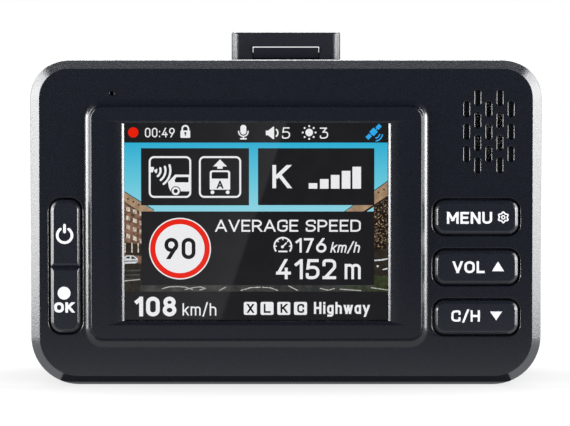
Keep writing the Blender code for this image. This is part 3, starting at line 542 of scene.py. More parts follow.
def front_shell(look):
    """Front cover as one ring: side, chamfer, face, concave flank, crest, window, pocket, cavity."""
    rings = []
    edge = [
        (SEAM_BEVEL, SEAM_Y, 0.0),
        (0.0, SEAM_Y - SEAM_BEVEL, 0.1 * MM),
        (0.0, FRONT_Y + CHAMFER, 0.5 * MM),
        (CHAMFER, FRONT_Y, 0.18 * MM),
        (2 * CHAMFER, FRONT_Y, 0.0),
    ]
    for inset, station in filleted(edge):
        rings.append((body_outline(inset), station))
    for step in range(FLANK_STEPS + 1):
        angle = FLANK_END * step / FLANK_STEPS
        across = math.sin(angle) / math.sin(FLANK_END)
        up = (1 - math.cos(angle)) / (1 - math.cos(FLANK_END))
        left, right, low, high = between(FRAME_FOOT, FRAME_CREST, across)
        radius = FOOT_RADIUS + (CREST_RADIUS - FOOT_RADIUS) * across
        rise = min(FRAME_RISE * up, FRAME_RISE - CREST_BEVEL)
        rings.append((rounded((left, right), (low, high), radius), FRONT_Y - rise))
    crest = [grown(limits, -CREST_BEVEL) for limits in (FRAME_CREST[:2], FRAME_CREST[2:])]
    rings.append((rounded(*crest, CREST_RADIUS - CREST_BEVEL), CREST_Y))
    for step in range(RAMP_STEPS + 1):
        share = step / RAMP_STEPS
        depth = share * share
        sideways = between(WINDOW_CREST[:2], WINDOW_LIP[:2], share)
        upright = between(WINDOW_CREST[2:], WINDOW_LIP[2:], depth)
        rings.append((rounded(sideways, upright, WINDOW_RADIUS), CREST_Y + RAMP_DEPTH * depth))
    lip = rounded(grown(WINDOW_LIP[:2], -LIP_BEVEL), WINDOW_LIP[2:], WINDOW_RADIUS)
    rings.append((lip, CREST_Y + RAMP_DEPTH + LIP_BEVEL_DEPTH))
    margin = GLASS_MARGIN + GAP
    pocket = rounded(grown(WINDOW_LIP[:2], margin), grown(WINDOW_LIP[2:], margin), WINDOW_RADIUS)
    pocket_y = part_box("display_glass")[0].y - GAP
    rings += [(lip, pocket_y), (pocket, pocket_y), (pocket, PLATE_BACK_Y)]
    rings += [(body_outline(WALL), PLATE_BACK_Y), (body_outline(WALL), SEAM_Y)]
    shell = loft("front_shell", rings, is_ring=True)
    combine(shell, gathered([*well_cutters(), *slot_cutters(), mic_cutter()]))
    finish(shell, "case", "case_plastic", look, "front_cover")


def opening(u_range, v_range, radius, steps=CORNER_STEPS):
    """outline_at for a rounded opening."""
    return lambda margin: rounded(grown(u_range, margin), grown(v_range, margin), radius + margin, steps=steps)


def key_cap_box(name):
    """(x range, z range) of a key's cap, without the flange behind the plate."""
    x_range, _, (low, high) = ranges(name)
    step_low = -SPLIT_STEP if name == "power_button" else KEY_FLANGE
    step_high = -SPLIT_STEP if name == "ok_button" else KEY_FLANGE
    return grown(x_range, -KEY_FLANGE), (low + step_low, high - step_high)


def well_cutters():
    end = PLATE_BACK_Y + OVER
    left_x, (_, top) = key_cap_box("power_button")
    _, (bottom, _) = key_cap_box("ok_button")
    wells = [(left_x, (bottom, top), (LEFT_WELL_MARGIN, LEFT_WELL_MARGIN), LEFT_KEY_RADIUS)]
    wells += [(*key_cap_box(name), RIGHT_WELL_MARGIN, RIGHT_KEY_RADIUS) for name in RIGHT_KEYS]
    cutters = []
    for x_range, z_range, margins, radius in wells:
        x_range, z_range = grown(x_range, margins[0]), grown(z_range, margins[1])
        outline_at = opening(x_range, z_range, radius + margins[1])
        cutters.append(flared("well", outline_at, FRONT_Y, end, WELL_FILLET))
    return cutters


def slot_places():
    """Every speaker slot as (x, z, goes through): five columns, the middle ones over the speaker."""
    places = []
    for column in range(-2, 3):
        rows = (-1.5, -0.5, 0.5, 1.5) if column % 2 else (-1, 0, 1)
        for row in rows:
            is_through = abs(column) < 2 and abs(row) < 1.2
            places.append((SPEAKER_X + column * COLUMN_PITCH, SPEAKER_Z + row * ROW_PITCH, is_through))
    return places


def slot_cutters():
    width, height = SLOT_SIZE
    cutters = []
    for x, z, is_through in slot_places():
        end = PLATE_BACK_Y + OVER if is_through else FRONT_Y + BLIND_SLOT_DEPTH
        outline_at = opening(span(x, width), span(z, height), width / 2 - TINY, steps=6)
        cutters.append(flared("slot", outline_at, FRONT_Y, end, SLOT_FILLET, steps=4))
    return cutters


def mic_cutter():
    place = (MIC_X, MIC_Z)
    return flared("mic", lambda m: circle(place, MIC_RADIUS + m, 24), FRONT_Y, PLATE_BACK_Y + OVER, 0.08 * MM)


def screw_places():
    """(x, z) of the four long case screws."""
    return [middle_of(f"case_screw_{number}").xz for number in range(1, 5)]


def rear_shell(look):
    """Rear housing as one cup: inner wall, lip, seam, sides and rounded back."""
    front = SEAM_Y + GAP
    lip_start = SEAM_Y - 2 * GAP
    lip_inset = WALL + GAP
    inner_lip = lip_inset + LIP_THICK
    profile = [
        (BACK_INSET + 0.7 * MM, BACK_Y - WALL),
        (WALL, BACK_Y - BACK_ROUND),
        (WALL, front + 2 * OVER),
        (inner_lip, front + OVER),
        (inner_lip, lip_start),
        (lip_inset, lip_start),
        (lip_inset, front),
        (SEAM_BEVEL, front),
        (0.0, front + SEAM_BEVEL),
    ]
    for step in range(13):
        angle = math.pi / 2 * step / 12
        profile.append((BACK_INSET * (1 - math.cos(angle)), BACK_Y - BACK_ROUND * (1 - math.sin(angle))))
    shell = loft("rear_shell", [(body_outline(inset), station) for inset, station in profile])
    boss_ends = (lip_start, BACK_Y - WALL / 2)
    combine(shell, gathered([rod("boss", place, BOSS_RADIUS, boss_ends) for place in screw_places()]), "UNION")
    combine(shell, panel_recess_cutter())
    tools = [*back_cutters(BACK_Y), *screw_cutters(), *side_cutters(), *vent_cutters()]
    tools += shoe_screw_cutters(BODY_HEIGHT - WALL - OVER, BODY_HEIGHT + OVER)
    combine(shell, gathered(tools))
    finish(shell, "case", "case_plastic", look, "rear_housing")


def panel_recess_cutter():
    x_range, (front, _), z_range = ranges("rear_panel")
    outline_at = opening(grown(x_range, GAP), grown(z_range, GAP), PANEL_RADIUS + GAP)
    return flared("recess", outline_at, BACK_Y, front - GAP, 0.2 * MM)


def back_cutters(surface):
    """The camera hole and the laser window's opening."""
    stations = (HEAD_SEAT_Y - WALL, surface + OVER)
    laser = middle_of("laser_window")
    width, height = LASER_OPENING
    outline = rounded(span(laser.x, width), span(laser.z, height), 2.3 * MM)
    return [
        rod("camera_hole", middle_of("lens_trim_ring").xz, CAMERA_HOLE_RADIUS, stations, steps=64),
        prism("laser_opening", outline, stations),
    ]


def screw_cutters():
    profile = [
        (SHANK_HOLE_RADIUS, SEAM_Y - OVER),
        (SHANK_HOLE_RADIUS, HEAD_SEAT_Y),
        (HEAD_HOLE_RADIUS, HEAD_SEAT_Y),
        (HEAD_HOLE_RADIUS, BACK_Y + OVER),
    ]
    return [turned("screw_hole", place, profile, steps=32) for place in screw_places()]


def side_cutters():
    """The memory card's slit with its finger scallop on the left, and the inlet on the right."""
    _, *limits = ranges("memory_card")
    slit = rounded(*(grown(limit, 1.3 * GAP) for limit in limits), 0.3 * MM, steps=6)
    y, z = (sum(limit) / 2 for limit in limits)
    wide = rounded(span(y, 6.6 * MM), span(z, 9.6 * MM), 2.5 * MM, steps=12)
    deep = rounded(span(y, 4.0 * MM), span(z, 7.0 * MM), 1.2 * MM, steps=12)
    stations = (-HALF_WIDTH - OVER, WALL - HALF_WIDTH + OVER)
    card_opening = prism("slit", slit, stations, "X")
    scallop = [(wide, -HALF_WIDTH - GAP), (deep, 0.8 * MM - HALF_WIDTH)]
    combine(card_opening, loft("scallop", scallop, axis="X"), "UNION")
    inlet = opening(*(grown(limit, GAP) for limit in ranges("power_inlet")[1:]), 0.6 * MM, steps=8)
    end = HALF_WIDTH - WALL - OVER
    return [card_opening, flared("inlet_opening", inlet, HALF_WIDTH, end, 0.25 * MM, axis="X")]


def vent_cutters():
    """Two rows of slots in the top and one stack of slots in the back."""
    cutters = []
    for x in [side * (18.0 + index * 3.2) * MM for side in (-1, 1) for index in range(5)]:
        outline_at = opening(span(x, VENT_WIDTH), (-1.0 * MM, 8.0 * MM), VENT_RADIUS, steps=6)
        end = BODY_HEIGHT - WALL - GAP
        cutters.append(flared("top_vent", outline_at, BODY_HEIGHT, end, VENT_FILLET, "Z", 4))
    for z in [(10.0 + index * 2.8) * MM for index in range(4)]:
        outline_at = opening((-27.0 * MM, -9.0 * MM), span(z, VENT_WIDTH), VENT_RADIUS, steps=6)
        cutters.append(flared("back_vent", outline_at, BACK_Y, BACK_Y - WALL - OVER, VENT_FILLET, "Y", 4))
    return cutters


def key_cap(name, look):
    """A key: filleted face, sides, and the flange behind the front plate."""
    whole_x, (face_y, end_y), whole_z = ranges(name)
    x_range, z_range = key_cap_box(name)
    radii = KEY_RADII.get(name, (RIGHT_KEY_RADIUS, RIGHT_KEY_RADIUS))
    flange_y = PLATE_BACK_Y + GAP
    edge = [
        (2 * KEY_EDGE, face_y, 0.0),
        (KEY_EDGE, face_y, 0.35 * MM),
        (0.0, face_y + KEY_EDGE_DEPTH, 0.3 * MM),
        (0.0, face_y + 2 * KEY_EDGE_DEPTH, 0.0),
    ]
    rings = []
    for inset, station in filleted(edge)[1:-1]:
        corner = [max(radius - inset, SPLIT_RADIUS / 2) for radius in radii]
        rings.append((rounded(grown(x_range, -inset), grown(z_range, -inset), *corner), station))
    flange = rounded(whole_x, whole_z, *radii)
    stem = rounded(*(span(sum(limit) / 2, 2 * STEM_RADIUS) for limit in (x_range, z_range)), STEM_RADIUS - TINY)
    rings += [(rounded(x_range, z_range, *radii), flange_y), (flange, flange_y)]
    rings += [(outline, flange_y + FLANGE_THICK) for outline in (flange, stem)] + [(stem, end_y)]
    finish(loft(name + "_cap", rings), name, "key_plastic", look, name)


# Letters and figures as centre lines in a box of height 100, as "width: stroke / stroke". A stroke is a row
# of corners, each x,y or x,y,radius, and is closed if it starts with an o. An end with radius -100 is cut
# square to its stroke, and any other end is cut level or upright, half a line width farther out.
GLYPHS = {
    "0": "54: o 0,0,27 54,0,27 54,100,27 0,100,27",
    "1": "30: 30,100 30,0 / -2,72,-100 28,99,-100",
    "2": "54: 0,76 0,100,27 54,100,27 54,60,20 6,0,-100 / 0,0 54,0",
    "3": "54: 0,100 46,100 / 44,100,-100 20,60,-100 / 20,60 54,60,27 54,0,27 0,0,27 0,20",
    "4": "60: 40,100 4,27 / 0,27 60,27 / 44,50 44,0",
    "5": "54: 8,100 50,100 / 8,100 3,56 / 4,60 54,62,27 54,0,27 0,0,27 0,18",
    "6": "54: o 0,0,27 54,0,27 54,60,27 0,60,27 / 38,100 4,42,-100",
    "7": "52: 0,100 50,100 / 49,100 16,0",
    "8": "54: o 0,0,27 54,0,27 54,54,27 0,54,27 / o 4,54,23 50,54,23 50,100,23 4,100,23",
    "9": "54: o 0,40,27 54,40,27 54,100,27 0,100,27 / 50,58,-100 16,0",
    ":": "2: 1,2 1,6 / 1,60 1,64",
    "/": "34: 0,-10 34,110",
    "A": "64: 0,0 31,100 / 64,0 33,100 / 12,30 52,30",
    "C": "56: 56,74 56,100,27 0,100,27 0,0,27 56,0,27 56,26",
    "D": "56: o 0,0 56,0,27 56,100,27 0,100",
    "E": "46: 46,100 0,100 0,0 46,0 / 0,52 40,52",
    "G": "56: 56,78 56,100,27 0,100,27 0,0,27 56,0,27 56,46 / 34,46 56,46",
    "H": "56: 0,0 0,100 / 56,0 56,100 / 0,50 56,50",
    "K": "54: 0,0 0,100 / 50,100 6,44,-100 / 20,58,-100 54,0",
    "L": "46: 0,100 0,0 46,0",
    "M": "70: 0,0 0,100 / 70,0 70,100 / 4,100 35,30 / 66,100 35,30",
    "N": "56: 0,0 0,100 / 56,0 56,100 / 4,100 52,0",
    "O": "64: o 0,0,32 64,0,32 64,100,32 0,100,32",
    "P": "52: 0,0 0,100 52,100,27 52,44,27 0,44",
    "R": "54: 0,0 0,100 52,100,27 52,46,27 0,46 / 28,46,-100 53,0",
    "S": "54: 54,79 54,100,27 0,100,27 0,52,27 54,52,27 54,0,27 0,0,27 0,21",
    "U": "56: 0,100 0,0,27 56,0,27 56,100",
    "V": "60: 0,100 29,0 / 60,100 31,0",
    "X": "54: 2,0 52,100 / 2,100 52,0",
    "a": "46: o 0,0,23 46,0,23 46,70,23 0,70,23 / 46,0 46,70",
    "g": "46: o 0,0,23 46,0,23 46,70,23 0,70,23 / 46,70 46,-28,20 2,-28",
    "h": "46: 0,0 0,100 / 0,40 0,70,20 46,70,22 46,0",
    "i": "0: 0,0 0,70 / 0,98 0,100",
    "k": "42: 0,0 0,100 / 40,70 4,30,-100 / 15,42,-100 42,0",
    "m": "76: 0,0 0,70 / 0,40 0,70,18 38,70,18 38,0 / 38,40 38,70,18 76,70,18 76,0",
    "w": "74: 0,70 18,0 / 37,70 19,0 / 37,70 55,0 / 74,70 56,0",
    "y": "50: 0,70 25,0,-100 / 50,70 12,-30",
}


def parsed(glyph):
    """A glyph's width and its strokes, each as (is closed, corners)."""
    width, strokes = glyph.split(": ")
    paths = []
    for stroke in strokes.split(" / "):
        corners = []
        for corner in stroke.removeprefix("o ").split():
            numbers = [int(number) / 100 for number in corner.split(",")]
            corners.append((*numbers, 0.0)[:3])
        paths.append((stroke.startswith("o "), corners))
    return int(width) / 100, paths


class Marks:
    """Flat closed shapes on a plane that faces -Y, gathered into one piece.

    at(u, v) gives a point's (x, z); front and thick say where the shapes lie along Y.
    """

    def __init__(self, front, thick, at=lambda u, v: (u, v)):
        self.mesh = bmesh.new()
        self.front = front
        self.back = front + thick
        self.at = at

    def step_forward(self):
        """Each shape stands a little prouder than the last, so that no two faces coincide."""
        self.front -= SHAPE_STEP

    def vertices(self, points, station):
        return [self.mesh.verts.new(on_axis("Y", *self.at(u, v), station)) for u, v in points]

    def plate(self, outline):
        self.step_forward()
        front, back = self.vertices(outline, self.front), self.vertices(outline, self.back)
        self.mesh.faces.new(front)
        self.mesh.faces.new(back)
        bridge(self.mesh, front, back)
        return self

    def plates(self, *outlines):
        for outline in outlines:
            self.plate(outline)
        return self

    def disc(self, centre, radius):
        return self.plate(circle(centre, radius))

    def stroke(self, points, width, is_closed=False, has_round_ends=False, is_squared=(False, False)):
        """A band of this width along a path; is_squared is for a letter's first and last ends."""
        self.step_forward()
        sides = band_sides(points, width, is_closed)
        if is_squared[0]:
            sides[0] = squared_end(points[1], points[0], sides[0], width)
        if is_squared[1]:
            sides[-1] = squared_end(points[-2], points[-1], sides[-1], width)
        columns = []
        for left, right in sides:
            columns.append(self.vertices((left, right), self.front) + self.vertices((right, left), self.back))
        pairs = list(zip(columns, columns[1:]))
        if is_closed:
            pairs.append((columns[-1], columns[0]))
        else:
            self.mesh.faces.new(columns[0])
            self.mesh.faces.new(columns[-1])
        for first, second in pairs:
            bridge(self.mesh, first, second)
        if has_round_ends:
            self.disc(points[0], width / 2)
            self.disc(points[-1], width / 2)
        return self

    def text(self, words, u_range, v_range, weight, slant=0.0):
        """Words that fill a box; v_range is (baseline, cap line)."""
        up = 1 if v_range[1] > v_range[0] else -1
        height = abs(v_range[1] - v_range[0])
        gap, space = 0.15 * height, 0.32 * height
        letters = [c for c in words if c != " "]
        spare = u_range[1] - u_range[0] - len(letters) * weight
        spare -= (len(words) - 1) * gap + words.count(" ") * space
        glyphs = {c: parsed(GLYPHS[c]) for c in letters}
        scale = spare / sum(glyphs[c][0] for c in letters)
        u = u_range[0] + weight / 2
        for c in words:
            if c == " ":
                u += space + gap
                continue
            width, strokes = glyphs[c]
            for is_closed, corners in strokes:
                path = []
                for x, y in filleted(corners, 5, is_closed):
                    lift = weight / 2 + y * (height - weight)
                    path.append((u + x * scale + slant * lift, v_range[0] + up * lift))
                is_squared = [not is_closed and corner[2] == 0 for corner in (corners[0], corners[-1])]
                self.stroke(path, weight, is_closed, is_squared=is_squared)
            u += width * scale + weight + gap
        return self

    def build(self, name, look, body="case", slot="display_cell"):
        finish(new_object(name, self.mesh), body, slot, look)


def band_sides(points, width, is_closed):
    """The (left, right) points of a band at each point of its middle line, mitred at its bends."""
    count = len(points)
    sides = []
    for i in range(count):
        here = Vector(points[i])
        before = Vector(points[i - 1]) if i or is_closed else None
        after = Vector(points[(i + 1) % count]) if i < count - 1 or is_closed else None
        normals = []
        for start, end in ((before, here), (here, after)):
            if start is not None and end is not None and (end - start).length > 1e-9:
                ahead = (end - start).normalized()
                normals.append(Vector((-ahead.y, ahead.x)))
        middle = sum(normals, Vector((0.0, 0.0)))
        middle = middle.normalized() if middle.length > 1e-6 else normals[0]
        reach = width / 2 / max(middle.dot(normals[0]), 0.35)
        sides.append((tuple(here + middle * reach), tuple(here - middle * reach)))
    return sides


def squared_end(before, end, sides, width):
    """A letter stroke's end, carried on by half its width and cut level or upright."""
    ahead = Vector(end) - Vector(before)
    ahead.normalize()
    cut_axis = 1 if abs(ahead.y) > 0.4 else 0
    target = end[cut_axis] + math.copysign(width / 2, ahead[cut_axis])
    points = []
    for side in sides:
        reach = (target - side[cut_axis]) / ahead[cut_axis]
        points.append((side[0] + ahead.x * reach, side[1] + ahead.y * reach))
    return tuple(points)


def key_legends(look):
    """White print on the five keys."""
    raised = 0.02 * MM
    for name, draw in LEGENDS.items():
        x, z = (sum(limit) / 2 for limit in key_cap_box(name))
        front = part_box(name)[0].y - raised
        marks = Marks(front, 2 * raised, lambda u, v, x=x, z=z: (x + u * MM, z + v * MM))
        draw(marks)
        marks.build(name.replace("_button", "_legend"), look, name, "key_plastic")


def draw_power(marks):
    centre = (-0.14, -0.34)
    marks.stroke(arc(centre, 1.36, 124, 416, 40), 0.5, has_round_ends=True)
    marks.stroke([(centre[0], centre[1] + 0.62), (centre[0], centre[1] + 1.86)], 0.52, has_round_ends=True)


def draw_ok(marks):
    marks.disc((-0.27, 1.25), 1.19)
    marks.text("OK", (-2.08, 1.52), (-2.36, -0.44), 0.5)


def draw_menu(marks):
    marks.text("MENU", (-5.47, 2.86), (-1.2, 1.0), 0.43)
    centre = (4.92, 0.0)
    gear = []
    for step in range(72):
        angle = 2 * math.pi * step / 72
        radius = 0.84 + 0.13 * math.cos(6 * angle)
        gear.append((centre[0] + radius * math.sin(angle), centre[1] + radius * math.cos(angle)))
    marks.stroke(gear, 0.27, is_closed=True)
    marks.stroke(circle(centre, 0.3), 0.22, is_closed=True)


def draw_volume(marks):
    marks.text("VOL", (-4.38, 1.52), (-1.05, 1.15), 0.44)
    marks.plate([(2.86, -0.7), (5.1, -0.7), (3.98, 1.11)])


def draw_city_highway(marks):
    marks.text("C/H", (-4.62, 0.66), (-0.78, 1.34), 0.4)
    marks.plate([(2.56, 1.11), (3.66, -0.54), (4.76, 1.11)])


LEGENDS = {
    "power_button": draw_power,
    "ok_button": draw_ok,
    "menu_button": draw_menu,
    "volume_up_button": draw_volume,
    "city_highway_button": draw_city_highway,
}


def dot_place(u, v):
    """A display dot, counted right and down from the picture's top left corner, as (x, z)."""
    x = PICTURE_X[0] + (PICTURE_X[1] - PICTURE_X[0]) * u / DOTS[0]
    z = PICTURE_Z[1] - (PICTURE_Z[1] - PICTURE_Z[0]) * v / DOTS[1]
    return (x, z)


def screen_layer(level):
    """Marks in the picture, the given number of layers in front of the display cell."""
    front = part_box("lcd_panel")[0].y - (level + 1) * LAYER
    return Marks(front, LAYER / 2, dot_place)


TOP_BAR = 24.0
BOTTOM_BAR = 205.3
PANEL_A = ((21.4, 152.1), (30.8, 100.3))
PANEL_B = ((163.0, 303.8), (30.8, 100.0))
PANEL_C = ((21.6, 303.8), (107.7, 197.6))
SIGN_CENTRE = (68.4, 153.0)
SUN_CENTRE = (224.9, 11.7)
LENS_CENTRE = (36.4, 57.8)
WHEEL_CENTRE = (63.4, 82.9)
GAUGE_CENTRE = (193.1, 150.0)
NEEDLE_ROOT = (192.6, 150.8)
BADGE_PITCH = 20.3


def screen_picture():
    """The lit picture: sky, street, dark panels, and the signs and figures on them."""
    sky = graded(
        "screen_sky",
        [(0.0, (144, 212, 228)), (0.5, (98, 198, 219)), (1.0, (46, 174, 212))],
        (dot_place(0, 112)[1], dot_place(0, TOP_BAR)[1]),
    )
    screen_layer(0).plate(rectangle((0, DOTS[0]), (0, DOTS[1]))).build("screen_sky", sky)
    street_scene()
    bars = [((0, DOTS[0]), v_range) for v_range in ((0, TOP_BAR), (BOTTOM_BAR, DOTS[1]))]
    panels = screen_layer(6.5).plates(*(rectangle(*limits) for limits in (*bars, PANEL_A, PANEL_B, PANEL_C)))
    panels.build("screen_panels", lit("screen_dark", (29, 29, 31), (32, 32, 35), 3.0 * MM))
    white = lit("screen_white", (240, 240, 242))
    black = lit("screen_black", (22, 22, 24), (26, 26, 28))
    for draw in (status_icons, warning_squares, speed_sign, readings):
        draw(white, black)


def street_scene():
    """What the road picture shows between the panels: two building fronts, trees, cars and the road."""
    walls = screen_layer(1).plates(
        [(0, 90), (22, 104), (22, 178), (0, 178)],
        [(303, 101), (320, 89), (320, 154), (303, 154)],
    )
    walls.build("screen_walls", lit("screen_walls", (142, 108, 88), (84, 62, 50), 0.7 * MM))
    cornices = screen_layer(2).plates(
        [(0, 83.5), (37, 107), (37, 112), (24, 112), (0, 95)],
        [(320, 71.5), (262, 113), (284, 113), (320, 88.5)],
    )
    cornices.build("screen_cornices", lit("screen_cornices", (178, 150, 120), (150, 122, 96), 1.2 * MM))
    trees = screen_layer(2).plate([(303, 102), (320, 90.5), (320, 154), (303, 154)])
    trees.build("screen_trees", lit("screen_trees", (30, 23, 19), (186, 158, 126), 0.34 * MM, (0.52, 0.74)))

    shadows = screen_layer(3)
    for path, width in (
        ([(0, 82.8), (37, 106)], 1.0),
        ([(0, 95.6), (22, 110.4)], 1.2),
        ([(320, 70.8), (262, 112)], 1.0),
        ([(320, 89.8), (286, 112)], 2.2),
    ):
        shadows.stroke(path, width)
    for place in ((5.5, 92.5), (12, 96), (18.6, 99.8), (309, 84.5), (315.5, 81), (301, 91)):
        shadows.disc(place, 1.1)
    shadows.plates(
        [(0, 145), (22, 148), (22, 162), (0, 160)],
        [(303, 154), (320, 153), (320, 186), (303, 186)],
        rectangle((0, 22), (171, 206)),
    )
    shadows.build("screen_shade", lit("screen_shade", (34, 29, 26), (52, 46, 38), 0.8 * MM))

    windows = screen_layer(4)
    for column in range(3):
        for row in range(4):
            u = 3.4 + column * 8.0
            v = 101.6 + row * 10.9 + column * 3.0
            windows.plate([(u, v), (u + 4.6, v + 1.6), (u + 4.6, v + 6.6), (u, v + 5.4)])
    for u in (1, 9.4, 17):
        windows.plate([(u, 146), (u + 1.6, 146.4), (u + 1.6, 158), (u, 157.6)])
    windows.build("screen_windows", lit("screen_windows", (226, 214, 198), (150, 132, 112), 0.45 * MM))

    asphalt = screen_layer(4).plate(rectangle((20, 304), (197, 206)))
    for v in (179, 184.5, 189):
        asphalt.plate([(0, v), (20, v - 0.6), (20, v + 1.6), (0, v + 2.0)])
    asphalt.build("screen_road", lit("screen_road", (50, 52, 51), (72, 73, 71), 1.4 * MM))
    grass = screen_layer(4).plate([(303, 186), (320, 186), (320, 206), (290, 206), (262, 199), (303, 199)])
    grass.build("screen_grass", lit("screen_grass", (44, 50, 30), (60, 68, 44), 0.8 * MM))

    lanes = screen_layer(5)
    for path in (
        [(46.5, 202), (55, 199.6), (66, 199.2), (75, 200), (84, 203)],
        [(74, 203), (84, 200.6), (93, 199.6), (99, 201.4), (92, 203.6)],
        [(116, 204), (124.5, 199.6)],
        [(142, 204), (154, 200.6), (166, 200)],
        [(168, 200), (178, 200.8), (187, 204)],
        [(200, 198.4), (211, 204)],
        [(238, 201.4), (248, 203.8), (256, 201.6)],
        [(262, 202.4), (276, 203.4), (288, 204.2)],
        [(1, 192.4), (20, 190.6)],
        [(300, 200.6), (320, 203.4)],
    ):
        lanes.stroke(path, 1.1)
    lanes.build("screen_lane_marks", lit("screen_lane_marks", (206, 206, 200), (140, 140, 134)))
    cars = screen_layer(5).plates(
        [(0, 164), (4, 161.4), (12, 161.4), (17, 165), (17.6, 169), (14, 171), (0, 171.4)],
        [(303.8, 166.6), (312, 166), (320, 164.6), (320, 166.2), (312, 167.8), (303.8, 168.2)],
    )
    cars.disc((308, 174.4), 1.3).plate([(314, 178), (320, 176.4), (320, 178), (314, 179.2)])
    cars.build("screen_cars", lit("screen_cars", (226, 228, 230), (188, 192, 198)))
    glazing = screen_layer(6).plates(
        [(2, 164.6), (5, 162.6), (8, 162.6), (7, 165.2)],
        [(9.4, 162.6), (12, 162.8), (15, 165.4), (9.4, 165.4)],
        [(0, 168), (17, 167.4), (17, 168.4), (0, 169)],
    )
    glazing.build("screen_car_glazing", lit("screen_car_glazing", (26, 27, 29), (38, 40, 42)))


def status_icons(white, black):
    """Top bar: record mark, running time, lock, microphone, loudness, brightness, satellite."""
    red = lit("screen_red", (238, 34, 10), (226, 30, 12))
    screen_layer(7).disc((12.1, 11.6), 6.3).build("screen_record_mark", red)
    marks = screen_layer(7)
    marks.text("00:49", (26.2, 62.2), (17.6, 6.0), 1.4)
    marks.plate(rounded((69.2, 81.0), (9.2, 18.2), 1.0, steps=4))
    marks.stroke([(71.4, 10.0), (71.4, 7.2), *arc((75.1, 7.2), 3.7, 180, 360, 16), (78.8, 10.0)], 2.0)
    marks.plate(rounded((141.7, 148.9), (2.4, 14.2), 3.5, steps=8))
    marks.stroke([(139.6, 9.6), *arc((145.3, 10.6), 5.7, 180, 0, 20), (151.0, 9.6)], 1.5)
    marks.stroke([(145.3, 16.2), (145.3, 19.4)], 1.6)
    marks.plate(rectangle((141.4, 149.3), (18.4, 20.2)))
    speaker = [(172.5, 9.4), (175.2, 9.4), (181.2, 4.6), (182.5, 4.6)]
    marks.plate(speaker + [(u, 24.4 - v) for u, v in reversed(speaker)])
    marks.stroke(arc((181.6, 12.2), 5.4, -56, 56, 12), 1.8)
    marks.text("5", (192.0, 201.8), (19.2, 5.4), 1.5)
    marks.disc(SUN_CENTRE, 4.6)
    for angle in range(0, 360, 45):
        marks.stroke(radial(SUN_CENTRE, angle, 6.7, 8.8), 2.0)
    marks.text("3", (237.8, 247.8), (19.2, 5.7), 1.5)
    marks.build("screen_status_marks", white)
    keyhole = screen_layer(8).disc((75.1, 12.4), 1.3).plate(rectangle((74.5, 75.7), (12.4, 15.6)))
    keyhole.build("screen_lock_keyhole", black)
    ends = [(296.9, 16.8), (308.9, 4.9)]
    satellite = screen_layer(7).plates(
        tilted((302.8, 10.9), 7.4, 7.4),
        tilted(ends[1], 4.8, 6.0),
        tilted(ends[0], 4.8, 6.0),
    )
    satellite.stroke(ends, 1.1)
    for radius, steps in ((5.4, 10), (8.8, 12)):
        satellite.stroke(arc((304.7, 13.2), radius, 4, 86, steps), 1.5)
    blue = lit("screen_blue", (52, 176, 242), (44, 160, 228))
    satellite.build("screen_satellite", blue)


def tilted(centre, width, height, angle=math.radians(45)):
    """A rectangle turned about its centre; its height runs along the slanted axis."""
    cosine, sine = math.cos(angle), math.sin(angle)
    corners = rectangle((-width / 2, width / 2), (-height / 2, height / 2))
    return [(centre[0] + u * cosine - v * sine, centre[1] + u * sine + v * cosine) for u, v in corners]


def warning_squares(white, black):
    """Two outlined squares: a camera watching a van, and a bus lane sign; then the signal bars."""
    marks = screen_layer(7)
    for u_range in ((31.9, 81.0), (92.6, 141.5)):
        marks.stroke(rounded(u_range, (41.6, 90.0), 5.4, steps=6), 2.3, is_closed=True)
    marks.plates(
        [(32.6, 53.6), (36.4, 53.6), (37.4, 55.0), (35.6, 60.2), (32.6, 60.2)],
        [(36.9, 57.4), (41.2, 55.6), (40.8, 60.6), (39.0, 61.2)],
    )
    for radius in (8.7, 14.6, 20.5):
        marks.stroke(arc(LENS_CENTRE, radius, -18, 53, 14), 2.6, has_round_ends=True)
    marks.plate([(62.6, 62.9), (80.4, 62.9), (80.4, 83.2), (57.2, 83.2), (55.2, 79.0), (54.0, 72.0)])
    arrow = [(117.0, 44.3), (125.4, 53.0), (120.2, 53.0), (120.2, 55.8), (113.7, 55.8), (113.7, 53.0)]
    marks.plate(arrow + [(108.7, 53.0)])
    marks.plate(rounded((104.6, 129.3), (57.7, 81.2), 3.2, 0.4, steps=5))
    marks.disc((107.8, 84.3), 2.3).disc((126.3, 84.3), 2.3)
    marks.text("K", (180.4, 202.0), (79.4, 51.2), 4.5)
    for index, left in enumerate((224.4, 238.0, 251.2, 264.4, 277.3)):
        marks.plate(rectangle((left, left + 10.4), (73.3 - 5.0 * index, 80.0)))
    marks.build("screen_warning_marks", white)
    holes = screen_layer(8)
    holes.plate([(64.4, 65.8), (78.9, 65.8), (78.9, 72.3), (62.6, 72.3), (62.2, 69.0)])
    holes.disc(WHEEL_CENTRE, 5.9)
    holes.plate(rounded((106.9, 126.9), (59.8, 67.8), 1.6, 0.4, steps=4))
    holes.text("A", (113.0, 121.0), (79.8, 70.4), 1.9)
    holes.build("screen_warning_openings", black)
    screen_layer(9).disc(WHEEL_CENTRE, 4.9).build("screen_van_wheel", white)
    screen_layer(10).disc(WHEEL_CENTRE, 2.5).build("screen_van_hub", black)


def speed_sign(white, black):
    """Round speed sign with its figures."""
    screen_layer(7).disc(SIGN_CENTRE, 37.6).build("screen_sign_face", white)
    red = lit("screen_sign_red", (235, 30, 8), (228, 34, 14))
    screen_layer(8).stroke(circle(SIGN_CENTRE, 33.0), 6.3, is_closed=True).build("screen_sign_ring", red)
    screen_layer(8).text("90", (49.6, 87.2), (165.8, 139.8), 4.6).build("screen_sign_figures", black)


